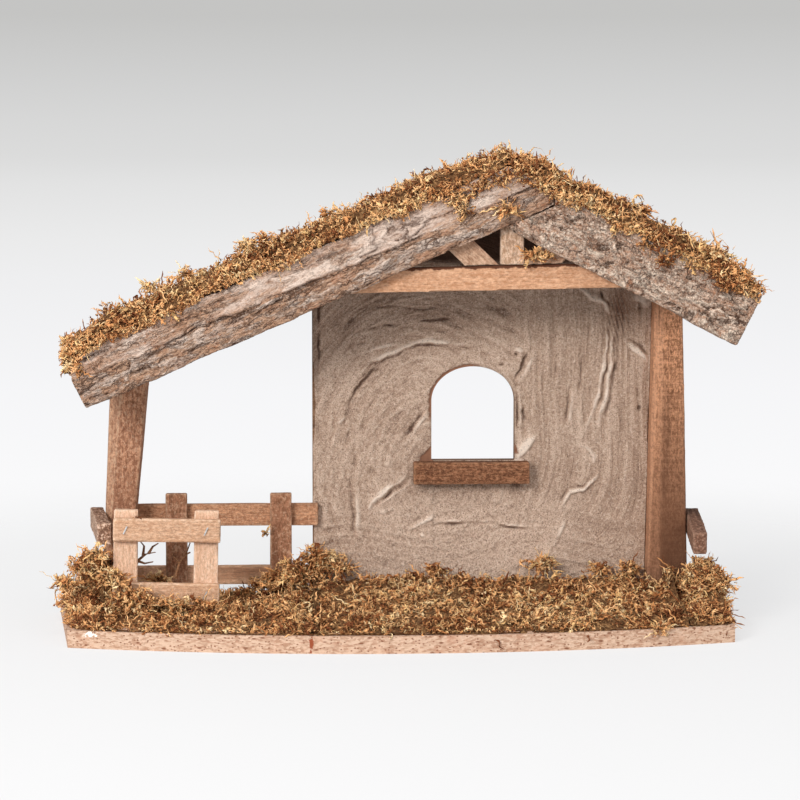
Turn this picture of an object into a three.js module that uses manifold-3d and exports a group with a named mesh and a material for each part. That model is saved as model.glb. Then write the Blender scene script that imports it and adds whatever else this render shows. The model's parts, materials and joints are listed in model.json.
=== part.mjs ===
// Rustic nativity stable. A bow-fronted board carries a plastered wall with an arched window, two posts,
// a lopsided gable roof with bark fascias and a small truss, two slat fences, two side rails and beds of
// dried moss. Nothing on it moves: every piece is screwed, nailed, stapled or glued.
// Millimetres, +Z up, +X to the viewer's right and +Y to the back. The origin is the middle of the base
// board's underside.
import * as THREE from "three";
import { mergeVertices } from "three/addons/utils/BufferGeometryUtils.js";
import Module from "manifold-3d";

const wasm = await Module();
wasm.setup();

const degrees = THREE.MathUtils.degToRad;

// Clearances
const SEAT_GAP = 0.3;
const HOLE_CLEARANCE = 0.25;
const MOSS_CLEARANCE = 0.4;

// Base board
const BASE_THICKNESS = 12;
const BASE_FRONT_WIDTH = 460;
const BASE_SIDE_DEPTH = 140;
const BASE_BOW = 32;
const BASE_SPLAY = degrees(7);
const BOW_STEPS = 28;

// Back wall: a board with a coat of plaster on its front
const WALL_WIDTH = 264.4;
const WALL_THICKNESS = 10;
const WALL_EDGE_MARGIN = 2;
const PLASTER_THICKNESS = 3;

// Arched window and its sill
const WINDOW_WIDTH = 61.4;
const WINDOW_JAMB_HEIGHT = 44;
const WINDOW_ARCH_RISE = 25.3;
const WINDOW_FROM_WALL_END = 118;
const SILL_HEIGHT_ABOVE_BASE = 85;
const SILL_WIDTH = 85;
const SILL_HEIGHT = 16.2;
const SILL_DEPTH = 12;
const SILL_SHIFT = -1.7;
const ARCH_STEPS = 16;

// Posts: rough sawn, with one bevelled corner, wider at one end than at the other
const POST_DEPTH = 24;
const LEFT_POST_INSET = 34.3;
const LEFT_POST_FOOT_WIDTH = 19.5;
const LEFT_POST_TOP_WIDTH = 30;
const LEFT_POST_LEAN = 9;
const LEFT_POST_FOOT_BEVEL = 2.5;
const LEFT_POST_TOP_BEVEL = 10.6;
const RIGHT_POST_INSET = 33.6;
const RIGHT_POST_FOOT_WIDTH = 32.1;
const RIGHT_POST_TOP_WIDTH = 22.1;
const RIGHT_POST_LEAN = 3.5;
const RIGHT_POST_FOOT_BEVEL = 10.5;
const RIGHT_POST_TOP_BEVEL = 5;
const BEVEL_DEPTH = 7;

// Roof boards
const RIDGE_HEIGHT = 328.5;
const RIDGE_FROM_RIGHT_POST = 139.6;
const LEFT_PITCH = degrees(23.2);
const RIGHT_PITCH = degrees(26.5);
const ROOF_BOARD_THICKNESS = 8;
const ROOF_DEPTH = 99;
const ROOF_BACK_OVERHANG = 4;
const LEFT_OVERHANG = 18.7;
const RIGHT_OVERHANG = 36.4;

// Bark slabs along the front edge of the roof
const BARK_THICKNESS = 9;
const LEFT_BARK_WIDTH = 38.2;
const RIGHT_BARK_WIDTH = 39.2;
const LEFT_BARK_INSET = 3.4;
const LEFT_BARK_FOOT_RISE = 13.6;
const RIGHT_BARK_LIP = 3;
const BARK_PAST_RIDGE = 32.5;
const BARK_END_CUT = 6;

// Truss behind the bark
const TRUSS_THICKNESS = 8;
const TIE_BEAM_HEIGHT = 17.3;
const TIE_BEAM_DROP = 86.3;
const TIE_BEAM_TILT = degrees(1.2);
const KING_POST_WIDTH = 16.8;
const KING_POST_SHIFT = 4.1;
const STRUT_WIDTH = 17.2;
const STRUT_ANGLE = degrees(43.8);

// Rear fence, behind the pen
const REAR_UPRIGHT_WIDTH = 16;
const REAR_UPRIGHT_THICKNESS = 6;
const REAR_UPRIGHT_HEIGHT = 79.5;
const REAR_UPRIGHT_FROM_POST = 25.2;
const REAR_UPRIGHT_FROM_WALL = 15.4;
const REAR_RAIL_THICKNESS = 6;
const REAR_TOP_RAIL_HEIGHT = 16.6;
const REAR_TOP_RAIL_ABOVE_BASE = 54.5;
const REAR_BOTTOM_RAIL_HEIGHT = 14;
const REAR_BOTTOM_RAIL_ABOVE_BASE = 11.4;
const REAR_RAIL_LAP = 4;

// Side rails, square sticks that run forward from the posts
const SIDE_RAIL_WIDTH = 10;
const SIDE_RAIL_HEIGHT = 15.5;
const LEFT_RAIL_LENGTH = 66;
const LEFT_RAIL_SPLAY = degrees(8.7);
const LEFT_RAIL_ABOVE_BASE = 50.8;
const LEFT_RAIL_RISE = 3.2;
const RIGHT_RAIL_LENGTH = 78;
const RIGHT_RAIL_SPLAY = degrees(4.7);
const RIGHT_RAIL_ABOVE_BASE = 41.9;
const RIGHT_RAIL_RISE = 7.4;

// Front fence, two uprights behind two rails, turned a little clockwise
const FRONT_RAIL_LENGTH = 75.4;
const FRONT_RAIL_HEIGHT = 16.5;
const FRONT_RAIL_THICKNESS = 6;
const FRONT_TOP_RAIL_ABOVE_BASE = 53.4;
const FRONT_BOTTOM_RAIL_ABOVE_BASE = 8;
const FRONT_UPRIGHT_WIDTH = 17.2;
const FRONT_UPRIGHT_THICKNESS = 6;
const FRONT_UPRIGHT_HEIGHT = 75.4;
const FRONT_UPRIGHT_INSET = 1.6;
const FRONT_FENCE_TILT = degrees(1.2);

// Staples in the fences
const STAPLE_CROWN = 6;
const STAPLE_WIRE = 0.9;
const STAPLE_LEG = 9;
const STAPLE_TILT = degrees(66);
const POST_STAPLE_SHARE = 0.7;

// Screws, nails and brads
const SCREW_LENGTH = 30;
const SCREW_DIAMETER = 3.5;
const SCREW_HEAD_DIAMETER = 7;
const NAIL_LENGTH = 24;
const NAIL_DIAMETER = 1.6;
const NAIL_HEAD_DIAMETER = 4;
const BRAD_LENGTH = 14;
const BRAD_DIAMETER = 1.2;
const BRAD_HEAD_DIAMETER = 2.4;
const HEAD_RECESS = 0.4;
const HEAD_RIM_SHARE = 0.2;
const NAIL_CONE_SHARE = 0.6;
const HOLE_RUNOUT = 2;
const FASTENER_SIDES = 10;

// Where the fasteners sit, as shares of the width or height that they go through
const WALL_SCREW_SHARES = [0.17, 0.67];
const WALL_NAIL_SHARE = 0.12;
const LEFT_POST_NAIL_SHARE = 0.35;
const RIGHT_POST_NAIL_SHARE = 0.75;
const POST_NAIL_DEPTH_SHARE = 0.33;
const LEFT_BRAD_SHARE = 0.88;
const RIGHT_BRAD_SHARE = 0.86;
const RAIL_NAIL_SHARE = 0.4;

// Moss on the roof
const ROOF_MOSS_THICKNESS = 21;
const ROOF_MOSS_RIDGE_DIP = 9;
const ROOF_MOSS_RIDGE_REACH = 17;
const ROOF_MOSS_LIP = 2;
const ROOF_MOSS_EAVE_ROUND = 12;
const ROOF_MOSS_EAVE_DROP = 13;
const ROOF_MOSS_EDGE = 9;
const ROOF_MOSS_STEPS = 26;
const ROOF_MOSS_ROWS = 5;
const ROOF_MOSS_EDGE_SHARE = 0.35;
const ROOF_MOSS_SHOULDER_SHARE = 0.8;
const ROOF_MOSS_SHOULDER_PLACE = 0.4;
const ROOF_MOSS_EAVE_STEPS = 5;
const ROOF_MOSS_EAVE_STEP = degrees(20);
const ROOF_MOSS_CURL_SHARE = 0.7;
const ROOF_MOSS_END_SHARE = 0.3;

// Moss on the base
const BED_EDGE_INSET = 2;
const BED_FRONT_THICKNESS = 8;
const PEN_BACK_THICKNESS = 9;
const YARD_BACK_THICKNESS = 22;
const BED_EDGE_ROUND = 7;
const LEFT_HEAP_HEIGHT = 36;
const RIGHT_HEAP_HEIGHT = 32;
const HEAP_SPREAD = 24;
const BED_STEP = 8;
const LUMP_HEIGHT = 1.6;
const LUMP_SPACING = 42;
const LUMP_SLANT = 0.7;
const RIPPLE_TURNS = 2.1;
const RIPPLE_SLANT = 1.7;
const RIPPLE_SHARE = 0.6;
const BED_EDGE_SHARE = 0.3;
const BED_ROWS = 12;

// Places worked out from the sizes above
const baseTop = BASE_THICKNESS;
const baseBack = (BASE_SIDE_DEPTH + BASE_BOW) / 2;
const baseCornerY = baseBack - BASE_SIDE_DEPTH;
const baseBackHalf = BASE_FRONT_WIDTH / 2 + BASE_SIDE_DEPTH * Math.tan(BASE_SPLAY);
const bowRadius = (BASE_FRONT_WIDTH ** 2 / 4 + BASE_BOW ** 2) / (2 * BASE_BOW);
const bowCentreY = baseCornerY - BASE_BOW + bowRadius;

const wallBack = baseBack - WALL_EDGE_MARGIN;
const wallFront = wallBack - WALL_THICKNESS;
const plasterFront = wallFront - PLASTER_THICKNESS;
const rearRailFront = plasterFront - REAR_RAIL_THICKNESS;

const leftPostX = -baseBackHalf + LEFT_POST_INSET;
const rightPostEndX = baseBackHalf - RIGHT_POST_INSET;
const rightPostX = rightPostEndX - RIGHT_POST_FOOT_WIDTH;
const wallEndX = rightPostEndX - RIGHT_POST_FOOT_WIDTH + RIGHT_POST_TOP_WIDTH;
const wallX = wallEndX - WALL_WIDTH;

const ridgeX = rightPostEndX - RIDGE_FROM_RIGHT_POST;
const leftEaveX = leftPostX - LEFT_OVERHANG;
const rightEaveX = rightPostEndX + RIGHT_OVERHANG;
const roofBack = wallBack + ROOF_BACK_OVERHANG;
const roofFront = roofBack - ROOF_DEPTH;
const barkFront = roofFront - BARK_THICKNESS;

const windowX = wallX + WINDOW_FROM_WALL_END;
const windowBottom = baseTop + SILL_HEIGHT_ABOVE_BASE + SILL_HEIGHT;

// Height of the roof boards' top at a place along the width, for each slope
const leftRoofTop = (x) => RIDGE_HEIGHT - (ridgeX - x) * Math.tan(LEFT_PITCH);
const rightRoofTop = (x) => RIDGE_HEIGHT - (x - ridgeX) * Math.tan(RIGHT_PITCH);
const roofTop = (x) => (x < ridgeX ? leftRoofTop(x) : rightRoofTop(x));
const leftUnder = (x) => leftRoofTop(x) - ROOF_BOARD_THICKNESS / Math.cos(LEFT_PITCH) - SEAT_GAP;
const rightUnder = (x) => rightRoofTop(x) - ROOF_BOARD_THICKNESS / Math.cos(RIGHT_PITCH) - SEAT_GAP;
const roofUnder = (x) => Math.min(leftUnder(x), rightUnder(x));

// Finishes
const finish = (color, roughness, metalness = 0) =>
  new THREE.MeshStandardMaterial({ color, roughness, metalness });
const chipboard = finish(0xc9a184, 0.9);
const plywood = finish(0xa98763, 0.85);
const plaster = finish(0xad9b8a, 0.95);
const roughWood = finish(0x8a6350, 0.9);
const palePine = finish(0xd2ab85, 0.8);
const cedar = finish(0xc08f66, 0.85);
const bark = finish(0x8d7362, 0.95);
const moss = finish(0xa07c4a, 1);
const steel = finish(0xb8b9bb, 0.35, 1);

// Solids and meshes
function solidOf(geometry) {
  const bare = geometry.clone();
  bare.deleteAttribute("normal");
  bare.deleteAttribute("uv");
  const merged = mergeVertices(bare, 1e-4);
  return new wasm.Manifold(
    new wasm.Mesh({
      numProp: 3,
      vertProperties: merged.attributes.position.array,
      triVerts: new Uint32Array(merged.index.array),
    }),
  );
}

function geometryOf(solid) {
  const mesh = solid.getMesh();
  const geometry = new THREE.BufferGeometry();
  geometry.setAttribute("position", new THREE.BufferAttribute(mesh.vertProperties, 3));
  geometry.setIndex(new THREE.BufferAttribute(mesh.triVerts, 1));
  geometry.computeVertexNormals();
  return geometry;
}

function piece(name, material, geometry, parent) {
  const mesh = new THREE.Mesh(geometry, material);
  mesh.name = name;
  mesh.userData.undrilled = geometry;
  parent.add(mesh);
  return mesh;
}

function cutter(geometry, like) {
  const mesh = new THREE.Mesh(geometry);
  like.updateWorldMatrix(true, false);
  mesh.applyMatrix4(like.matrixWorld);
  return mesh;
}

// A tool's solid in a target's own frame, shifted along the object's axes
function toolSolid(tool, target, [x, y, z] = [0, 0, 0]) {
  target.updateWorldMatrix(true, false);
  tool.updateWorldMatrix(true, false);
  const placed = tool.geometry
    .clone()
    .applyMatrix4(tool.matrixWorld)
    .translate(x, y, z)
    .applyMatrix4(target.matrixWorld.clone().invert());
  return solidOf(placed);
}

function carve(target, tool) {
  target.geometry = geometryOf(solidOf(target.geometry).subtract(toolSolid(tool, target)));
}

// Cuts neighbours, as they were before their holes were drilled, out of a target with a gap all round
function carveRoundAbout(target, neighbours) {
  const ends = [-MOSS_CLEARANCE, MOSS_CLEARANCE];
  const shifts = ends.flatMap((x) => ends.flatMap((y) => ends.map((z) => [x, y, z])));
  const widened = neighbours.flatMap((neighbour) => {
    const tool = cutter(neighbour.userData.undrilled, neighbour);
    return shifts.map((shift) => toolSolid(tool, target, shift));
  });
  const left = solidOf(target.geometry).subtract(wasm.Manifold.union(widened));
  target.geometry = geometryOf(left);
}

// A flat outline in X and Z, given front to back thickness so that its back face lies at Y = back
function board(outline, thickness, back, holes = []) {
  const shape = new THREE.Shape(outline.map(([x, z]) => new THREE.Vector2(x, z)));
  shape.holes.push(...holes);
  const geometry = new THREE.ExtrudeGeometry(shape, {
    depth: thickness,
    bevelEnabled: false,
    curveSegments: ARCH_STEPS,
  });
  return geometry.rotateX(Math.PI / 2).translate(0, back, 0);
}

function block(x, y, z, width, depth, height) {
  return new THREE.BoxGeometry(width, depth, height).translate(
    x + width / 2,
    y + depth / 2,
    z + height / 2,
  );
}

function signedArea(points) {
  return THREE.ShapeUtils.area(points);
}

// A closed skin over a row of sections with equally many corners, with a flat cap on each end
function loft(sections, flatten) {
  const corners = sections[0].length;
  const index = [];
  for (let s = 0; s + 1 < sections.length; s++)
    for (let c = 0; c < corners; c++) {
      const here = s * corners + c;
      const next = s * corners + ((c + 1) % corners);
      index.push(here, next, next + corners);
      index.push(here, next + corners, here + corners);
    }
  const last = (sections.length - 1) * corners;
  addCap(index, sections[0].map(flatten), 0, true);
  addCap(index, sections.at(-1).map(flatten), last, false);
  const geometry = new THREE.BufferGeometry();
  const positions = sections.flat().flatMap((p) => [p.x, p.y, p.z]);
  geometry.setAttribute("position", new THREE.Float32BufferAttribute(positions, 3));
  geometry.setIndex(index);
  return facingOut(geometry);
}

function addCap(index, outline, first, turned) {
  const side = Math.sign(signedArea(outline));
  for (const corners of THREE.ShapeUtils.triangulateShape(outline, [])) {
    const same = Math.sign(signedArea(corners.map((c) => outline[c]))) === side;
    const ordered = same === turned ? [...corners].reverse() : corners;
    index.push(...ordered.map((c) => first + c));
  }
}

function facingOut(geometry) {
  const p = geometry.attributes.position;
  const at = (i) => new THREE.Vector3().fromBufferAttribute(p, geometry.index.getX(i));
  let volume = 0;
  for (let i = 0; i < geometry.index.count; i += 3)
    volume += at(i).dot(at(i + 1).cross(at(i + 2)));
  if (volume < 0) geometry.setIndex([...geometry.index.array].reverse());
  geometry.computeVertexNormals();
  return geometry;
}

// Keeps the part of a convex outline where a x + b z is no more than c
function clip(outline, a, b, c) {
  const side = ([x, z]) => a * x + b * z - c;
  return outline.flatMap((here, i) => {
    const next = outline[(i + 1) % outline.length];
    const kept = side(here) <= 0 ? [here] : [];
    if (side(here) * side(next) >= 0) return kept;
    const t = side(here) / (side(here) - side(next));
    return [...kept, [here[0] + t * (next[0] - here[0]), here[1] + t * (next[1] - here[1])]];
  });
}

function underRoof(outline) {
  const left = Math.tan(LEFT_PITCH);
  const right = Math.tan(RIGHT_PITCH);
  return clip(clip(outline, -left, 1, leftUnder(0)), right, 1, rightUnder(0));
}

// Base board with a bowed front and splayed sides
function baseBoard() {
  const half = BASE_FRONT_WIDTH / 2;
  const corner = baseCornerY - bowCentreY;
  const shape = new THREE.Shape();
  shape.moveTo(baseBackHalf, baseBack);
  shape.lineTo(-baseBackHalf, baseBack);
  shape.lineTo(-half, baseCornerY);
  shape.absarc(0, bowCentreY, bowRadius, Math.atan2(corner, -half), Math.atan2(corner, half), false);
  shape.closePath();
  return new THREE.ExtrudeGeometry(shape, {
    depth: BASE_THICKNESS,
    bevelEnabled: false,
    curveSegments: BOW_STEPS,
  });
}

// Wall board and plaster, with the window through both
function windowHole() {
  const half = WINDOW_WIDTH / 2;
  const springing = windowBottom + WINDOW_JAMB_HEIGHT;
  const hole = new THREE.Path();
  hole.moveTo(windowX - half, windowBottom);
  hole.lineTo(windowX + half, windowBottom);
  hole.lineTo(windowX + half, springing);
  hole.absellipse(windowX, springing, half, WINDOW_ARCH_RISE, 0, Math.PI, false, 0);
  hole.closePath();
  return hole;
}

function wallBoard() {
  const outline = [
    [wallX, baseTop],
    [wallEndX, baseTop],
    [wallEndX, roofUnder(wallEndX)],
    [ridgeX, roofUnder(ridgeX)],
    [wallX, roofUnder(wallX)],
  ];
  return board(outline, WALL_THICKNESS, wallBack, [windowHole()]);
}

function plasterCoat() {
  const foot = rightPostX - SEAT_GAP;
  const head = rightPostX + RIGHT_POST_LEAN - SEAT_GAP;
  const outline = [
    [wallX, baseTop],
    [foot, baseTop],
    [head, roofUnder(head)],
    [ridgeX, roofUnder(ridgeX)],
    [wallX, roofUnder(wallX)],
  ];
  return board(outline, PLASTER_THICKNESS, wallFront, [windowHole()]);
}

function windowSill() {
  const x = windowX + SILL_SHIFT - SILL_WIDTH / 2;
  const z = baseTop + SILL_HEIGHT_ABOVE_BASE;
  return block(x, plasterFront - SILL_DEPTH, z, SILL_WIDTH, SILL_DEPTH, SILL_HEIGHT);
}

// A post stands on the base and ends under the roof board. Its front left corner is bevelled.
function postSection(x, width, bevel, back, height) {
  const front = back - POST_DEPTH;
  const outline = [
    [x + bevel, front],
    [x + width, front],
    [x + width, back],
    [x, back],
    [x, front + BEVEL_DEPTH],
  ];
  return outline.map(([px, py]) => new THREE.Vector3(px, py, height(px)));
}

function post(x, lean, widths, bevels, back) {
  const foot = postSection(x, widths[0], bevels[0], back, () => baseTop);
  const head = postSection(x + lean, widths[1], bevels[1], back, roofUnder);
  return loft([foot, head], (p) => new THREE.Vector2(p.x, p.y));
}

const leftPostWidths = [LEFT_POST_FOOT_WIDTH, LEFT_POST_TOP_WIDTH];
const leftPostBevels = [LEFT_POST_FOOT_BEVEL, LEFT_POST_TOP_BEVEL];
const rightPostWidths = [RIGHT_POST_FOOT_WIDTH, RIGHT_POST_TOP_WIDTH];
const rightPostBevels = [RIGHT_POST_FOOT_BEVEL, RIGHT_POST_TOP_BEVEL];

// Where the outer face of each post lies at a height
function leftPostFace(z) {
  const top = roofUnder(leftPostX + LEFT_POST_LEAN);
  return leftPostX + (LEFT_POST_LEAN * (z - baseTop)) / (top - baseTop);
}

function rightPostFace(z) {
  const head = rightPostX + RIGHT_POST_LEAN + RIGHT_POST_TOP_WIDTH;
  const top = roofUnder(head);
  return rightPostEndX + ((head - rightPostEndX) * (z - baseTop)) / (top - baseTop);
}

// Roof boards meet on an upright joint at the ridge
function roofBoard(eaveX, top, pitch, side) {
  const ridge = ridgeX + (side * SEAT_GAP) / 2;
  const drop = ROOF_BOARD_THICKNESS / Math.cos(pitch);
  const inward = ROOF_BOARD_THICKNESS * Math.sin(pitch);
  const outline = [
    [eaveX, top(eaveX)],
    [eaveX - side * inward, top(eaveX) - ROOF_BOARD_THICKNESS * Math.cos(pitch)],
    [ridge, top(ridge) - drop],
    [ridge, top(ridge)],
  ];
  return board(outline, ROOF_DEPTH, roofBack);
}

// The left slab of bark runs past the ridge, and the right one butts against its lower edge
const leftBarkDrop = LEFT_BARK_WIDTH / Math.cos(LEFT_PITCH);
const rightBarkDrop = RIGHT_BARK_WIDTH / Math.cos(RIGHT_PITCH);
const leftBarkEdge = (x) => leftRoofTop(x) - leftBarkDrop;
const rightBarkEdge = (x) => rightRoofTop(x) - rightBarkDrop;
const leftBarkEndX = ridgeX + BARK_PAST_RIDGE;

function leftBark() {
  const topX = leftEaveX + LEFT_BARK_INSET;
  const footX = topX + (LEFT_BARK_WIDTH - LEFT_BARK_FOOT_RISE) * Math.sin(LEFT_PITCH);
  const kneeZ = (leftRoofTop(topX) + leftBarkEdge(footX)) / 2;
  const outline = [
    [footX, leftBarkEdge(footX)],
    [leftBarkEndX, leftBarkEdge(leftBarkEndX)],
    [leftBarkEndX, rightRoofTop(leftBarkEndX)],
    [ridgeX, RIDGE_HEIGHT],
    [topX, leftRoofTop(topX)],
    [topX, kneeZ],
  ];
  return board(outline, BARK_THICKNESS, roofFront);
}

function rightBark() {
  const joint = leftBarkEndX + SEAT_GAP;
  const under = (x) => leftBarkEdge(x) - SEAT_GAP / Math.cos(LEFT_PITCH);
  const slopes = Math.tan(LEFT_PITCH) + Math.tan(RIGHT_PITCH);
  const crossX = (rightBarkEdge(0) - under(0)) / slopes;
  const startX = crossX + BARK_END_CUT;
  const topX = rightEaveX + RIGHT_BARK_LIP;
  const endX = topX - RIGHT_BARK_WIDTH * Math.sin(RIGHT_PITCH);
  const outline = [
    [startX, rightBarkEdge(startX)],
    [endX, rightBarkEdge(endX)],
    [topX, rightRoofTop(topX)],
    [joint, rightRoofTop(joint)],
    [joint, under(joint)],
    [crossX + BARK_END_CUT / 2, under(crossX + BARK_END_CUT / 2)],
  ];
  return board(outline, BARK_THICKNESS, roofFront);
}

// Truss: a tie beam across the gable, a king post and two struts that spread upwards from its foot
const trussBack = roofFront + TRUSS_THICKNESS;
const kingPostX = ridgeX + KING_POST_SHIFT;
const tieBeamBottom = (x) => RIDGE_HEIGHT - TIE_BEAM_DROP + (x - kingPostX) * Math.tan(TIE_BEAM_TILT);
const tieBeamTop = (x) => tieBeamBottom(x) + TIE_BEAM_HEIGHT / Math.cos(TIE_BEAM_TILT);
const strutSpan = RIDGE_HEIGHT;

function onTieBeam(outline) {
  return clip(outline, Math.tan(TIE_BEAM_TILT), -1, -tieBeamTop(0) - SEAT_GAP);
}

function tieBeam() {
  const outline = [leftEaveX, rightEaveX].map((x) => [x, tieBeamBottom(x)]);
  outline.push(...[rightEaveX, leftEaveX].map((x) => [x, tieBeamTop(x)]));
  return board(underRoof(outline), TRUSS_THICKNESS, trussBack);
}

function kingPost() {
  const left = kingPostX - KING_POST_WIDTH / 2;
  const right = kingPostX + KING_POST_WIDTH / 2;
  const outline = [[left, 0], [right, 0], [right, RIDGE_HEIGHT], [left, RIDGE_HEIGHT]];
  return board(underRoof(onTieBeam(outline)), TRUSS_THICKNESS, trussBack);
}

function strut(side) {
  const x = kingPostX + side * (KING_POST_WIDTH / 2 + SEAT_GAP);
  const z = tieBeamTop(x) + SEAT_GAP;
  const along = [side * Math.cos(STRUT_ANGLE), Math.sin(STRUT_ANGLE)];
  const across = [side * Math.sin(STRUT_ANGLE), -Math.cos(STRUT_ANGLE)];
  const corner = (a, b) => [x + along[0] * a + across[0] * b, z + along[1] * a + across[1] * b];
  const outline = [
    corner(-STRUT_WIDTH, 0),
    corner(strutSpan, 0),
    corner(strutSpan, STRUT_WIDTH),
    corner(-STRUT_WIDTH, STRUT_WIDTH),
  ];
  const beside = clip(outline, -side, 0, -side * x);
  return board(underRoof(onTieBeam(beside)), TRUSS_THICKNESS, trussBack);
}

// Rear fence: rails from behind the left post to the front of the wall's end, uprights before them
const rearUprightY = rearRailFront - REAR_UPRIGHT_THICKNESS;
const rearUprights = {
  rear_fence_upright_left: leftPostX + LEFT_POST_FOOT_WIDTH + REAR_UPRIGHT_FROM_POST,
  rear_fence_upright_right: wallX - REAR_UPRIGHT_FROM_WALL - REAR_UPRIGHT_WIDTH,
};
const rearRails = {
  rear_fence_top_rail: [baseTop + REAR_TOP_RAIL_ABOVE_BASE, REAR_TOP_RAIL_HEIGHT],
  rear_fence_bottom_rail: [baseTop + REAR_BOTTOM_RAIL_ABOVE_BASE, REAR_BOTTOM_RAIL_HEIGHT],
};

function rearRail([z, height]) {
  const x = leftPostX + LEFT_POST_LEAN;
  const length = wallX + REAR_RAIL_LAP - x;
  return block(x, rearRailFront, z, length, REAR_RAIL_THICKNESS, height);
}

function rearUpright(x) {
  const depth = REAR_UPRIGHT_THICKNESS;
  return block(x, rearUprightY, baseTop, REAR_UPRIGHT_WIDTH, depth, REAR_UPRIGHT_HEIGHT);
}

// Side rails: the face towards the post touches it, the front end swings in and sits lower
function sideRail(postFace, bevelY, backY, side, length, splay, aboveBase, rise) {
  const section = (y, z) => {
    const inner = postFace(z) + side * (SEAT_GAP + (y - bevelY) * Math.tan(splay));
    const outer = inner + side * SIDE_RAIL_WIDTH;
    return [
      new THREE.Vector3(inner, y, z),
      new THREE.Vector3(outer, y, z),
      new THREE.Vector3(outer, y, z + SIDE_RAIL_HEIGHT),
      new THREE.Vector3(inner, y, z + SIDE_RAIL_HEIGHT),
    ];
  };
  const frontY = backY - length;
  const bottom = baseTop + aboveBase;
  const ends = [section(frontY, bottom), section(backY, bottom + rise)];
  return loft(ends, (p) => new THREE.Vector2(p.x, p.z));
}

const leftPostBack = rearRailFront;
const leftBevelY = leftPostBack - POST_DEPTH + BEVEL_DEPTH;
const rightPostFrontY = wallFront - POST_DEPTH;
const leftRailFront = leftPostBack - LEFT_RAIL_LENGTH;

function leftSideRail() {
  const face = (z) => Math.min(leftPostFace(z), leftPostFace(z + SIDE_RAIL_HEIGHT));
  return sideRail(face, leftBevelY, leftPostBack, -1, LEFT_RAIL_LENGTH, LEFT_RAIL_SPLAY,
    LEFT_RAIL_ABOVE_BASE, LEFT_RAIL_RISE);
}

function rightSideRail() {
  const face = (z) => Math.max(rightPostFace(z), rightPostFace(z + SIDE_RAIL_HEIGHT));
  return sideRail(face, rightPostFrontY, wallFront, 1, RIGHT_RAIL_LENGTH, RIGHT_RAIL_SPLAY,
    RIGHT_RAIL_ABOVE_BASE, RIGHT_RAIL_RISE);
}

// Front fence in its own frame: X along the rails, Z up from the base, rails in front of the uprights
const leftRailInnerX = leftPostFace(baseTop + LEFT_RAIL_ABOVE_BASE) - SEAT_GAP
  + (leftBevelY - leftRailFront) * Math.tan(LEFT_RAIL_SPLAY);
const fenceHalf = FRONT_RAIL_LENGTH / 2;
const frontUprights = {
  front_fence_upright_left: -fenceHalf,
  front_fence_upright_right: fenceHalf - FRONT_UPRIGHT_INSET - FRONT_UPRIGHT_WIDTH,
};
const frontRails = {
  front_fence_top_rail: FRONT_TOP_RAIL_ABOVE_BASE,
  front_fence_bottom_rail: FRONT_BOTTOM_RAIL_ABOVE_BASE,
};

// An upright's lower right corner is what comes nearest to the base
function frontUpright(x) {
  const fall = (x + FRONT_UPRIGHT_WIDTH) * Math.sin(FRONT_FENCE_TILT);
  const low = (SEAT_GAP + fall) / Math.cos(FRONT_FENCE_TILT);
  return block(x, 0, low, FRONT_UPRIGHT_WIDTH, FRONT_UPRIGHT_THICKNESS, FRONT_UPRIGHT_HEIGHT - low);
}

function frontRail(z) {
  const depth = FRONT_RAIL_THICKNESS;
  return block(-fenceHalf, -depth, z, FRONT_RAIL_LENGTH, depth, FRONT_RAIL_HEIGHT);
}

// A staple with its legs along +Y and its crown's inner face at Y = 0. Room widens the legs for a hole.
function stapleShape(room) {
  const half = STAPLE_CROWN / 2 + room;
  const inner = STAPLE_CROWN / 2 - STAPLE_WIRE - room;
  const leg = STAPLE_LEG + room;
  const outline = [
    [-half, -STAPLE_WIRE], [half, -STAPLE_WIRE], [half, leg], [inner, leg],
    [inner, -room], [-inner, -room], [-inner, leg], [-half, leg],
  ];
  const shape = new THREE.Shape(outline.map(([x, y]) => new THREE.Vector2(x, y)));
  const depth = STAPLE_WIRE + 2 * room;
  return new THREE.ExtrudeGeometry(shape, { depth, bevelEnabled: false }).translate(0, 0, -depth / 2);
}

function addStaple(name, x, y, z, facing, parent, targets) {
  const staple = piece(name, steel, stapleShape(0), parent);
  staple.position.set(x, y, z);
  staple.rotation.set(0, -STAPLE_TILT, facing < 0 ? Math.PI : 0, "YXZ");
  const tool = cutter(stapleShape(HOLE_CLEARANCE), staple);
  targets.forEach((target) => carve(target, tool));
}

// A round fastener along +Y from its head. Room widens it and runs it out past the head for a hole.
function fastenerShape({ length, diameter, head: headDiameter, cone }, room) {
  const shank = diameter / 2 + room;
  const head = headDiameter / 2 + room;
  const tip = diameter;
  const runout = room > 0 ? HOLE_RUNOUT : 0;
  const points = [
    [0, -runout],
    [head, -runout],
    [head, diameter * HEAD_RIM_SHARE + room],
    [shank, cone + room],
    [shank, length - tip],
    [0, length + room],
  ];
  const profile = points.map(([r, y]) => new THREE.Vector2(r, y));
  const lathe = new THREE.LatheGeometry(profile, FASTENER_SIDES);
  return facingOut(mergedGeometry(lathe));
}

function mergedGeometry(geometry) {
  geometry.deleteAttribute("normal");
  geometry.deleteAttribute("uv");
  return mergeVertices(geometry, 1e-4);
}

function addFastener(name, at, direction, kind, parent, targets) {
  const fastener = piece(name, steel, fastenerShape(kind, 0), parent);
  fastener.position.copy(at).addScaledVector(direction, HEAD_RECESS);
  fastener.quaternion.setFromUnitVectors(new THREE.Vector3(0, 1, 0), direction);
  const tool = cutter(fastenerShape(kind, HOLE_CLEARANCE), fastener);
  targets.forEach((target) => carve(target, tool));
}

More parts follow.
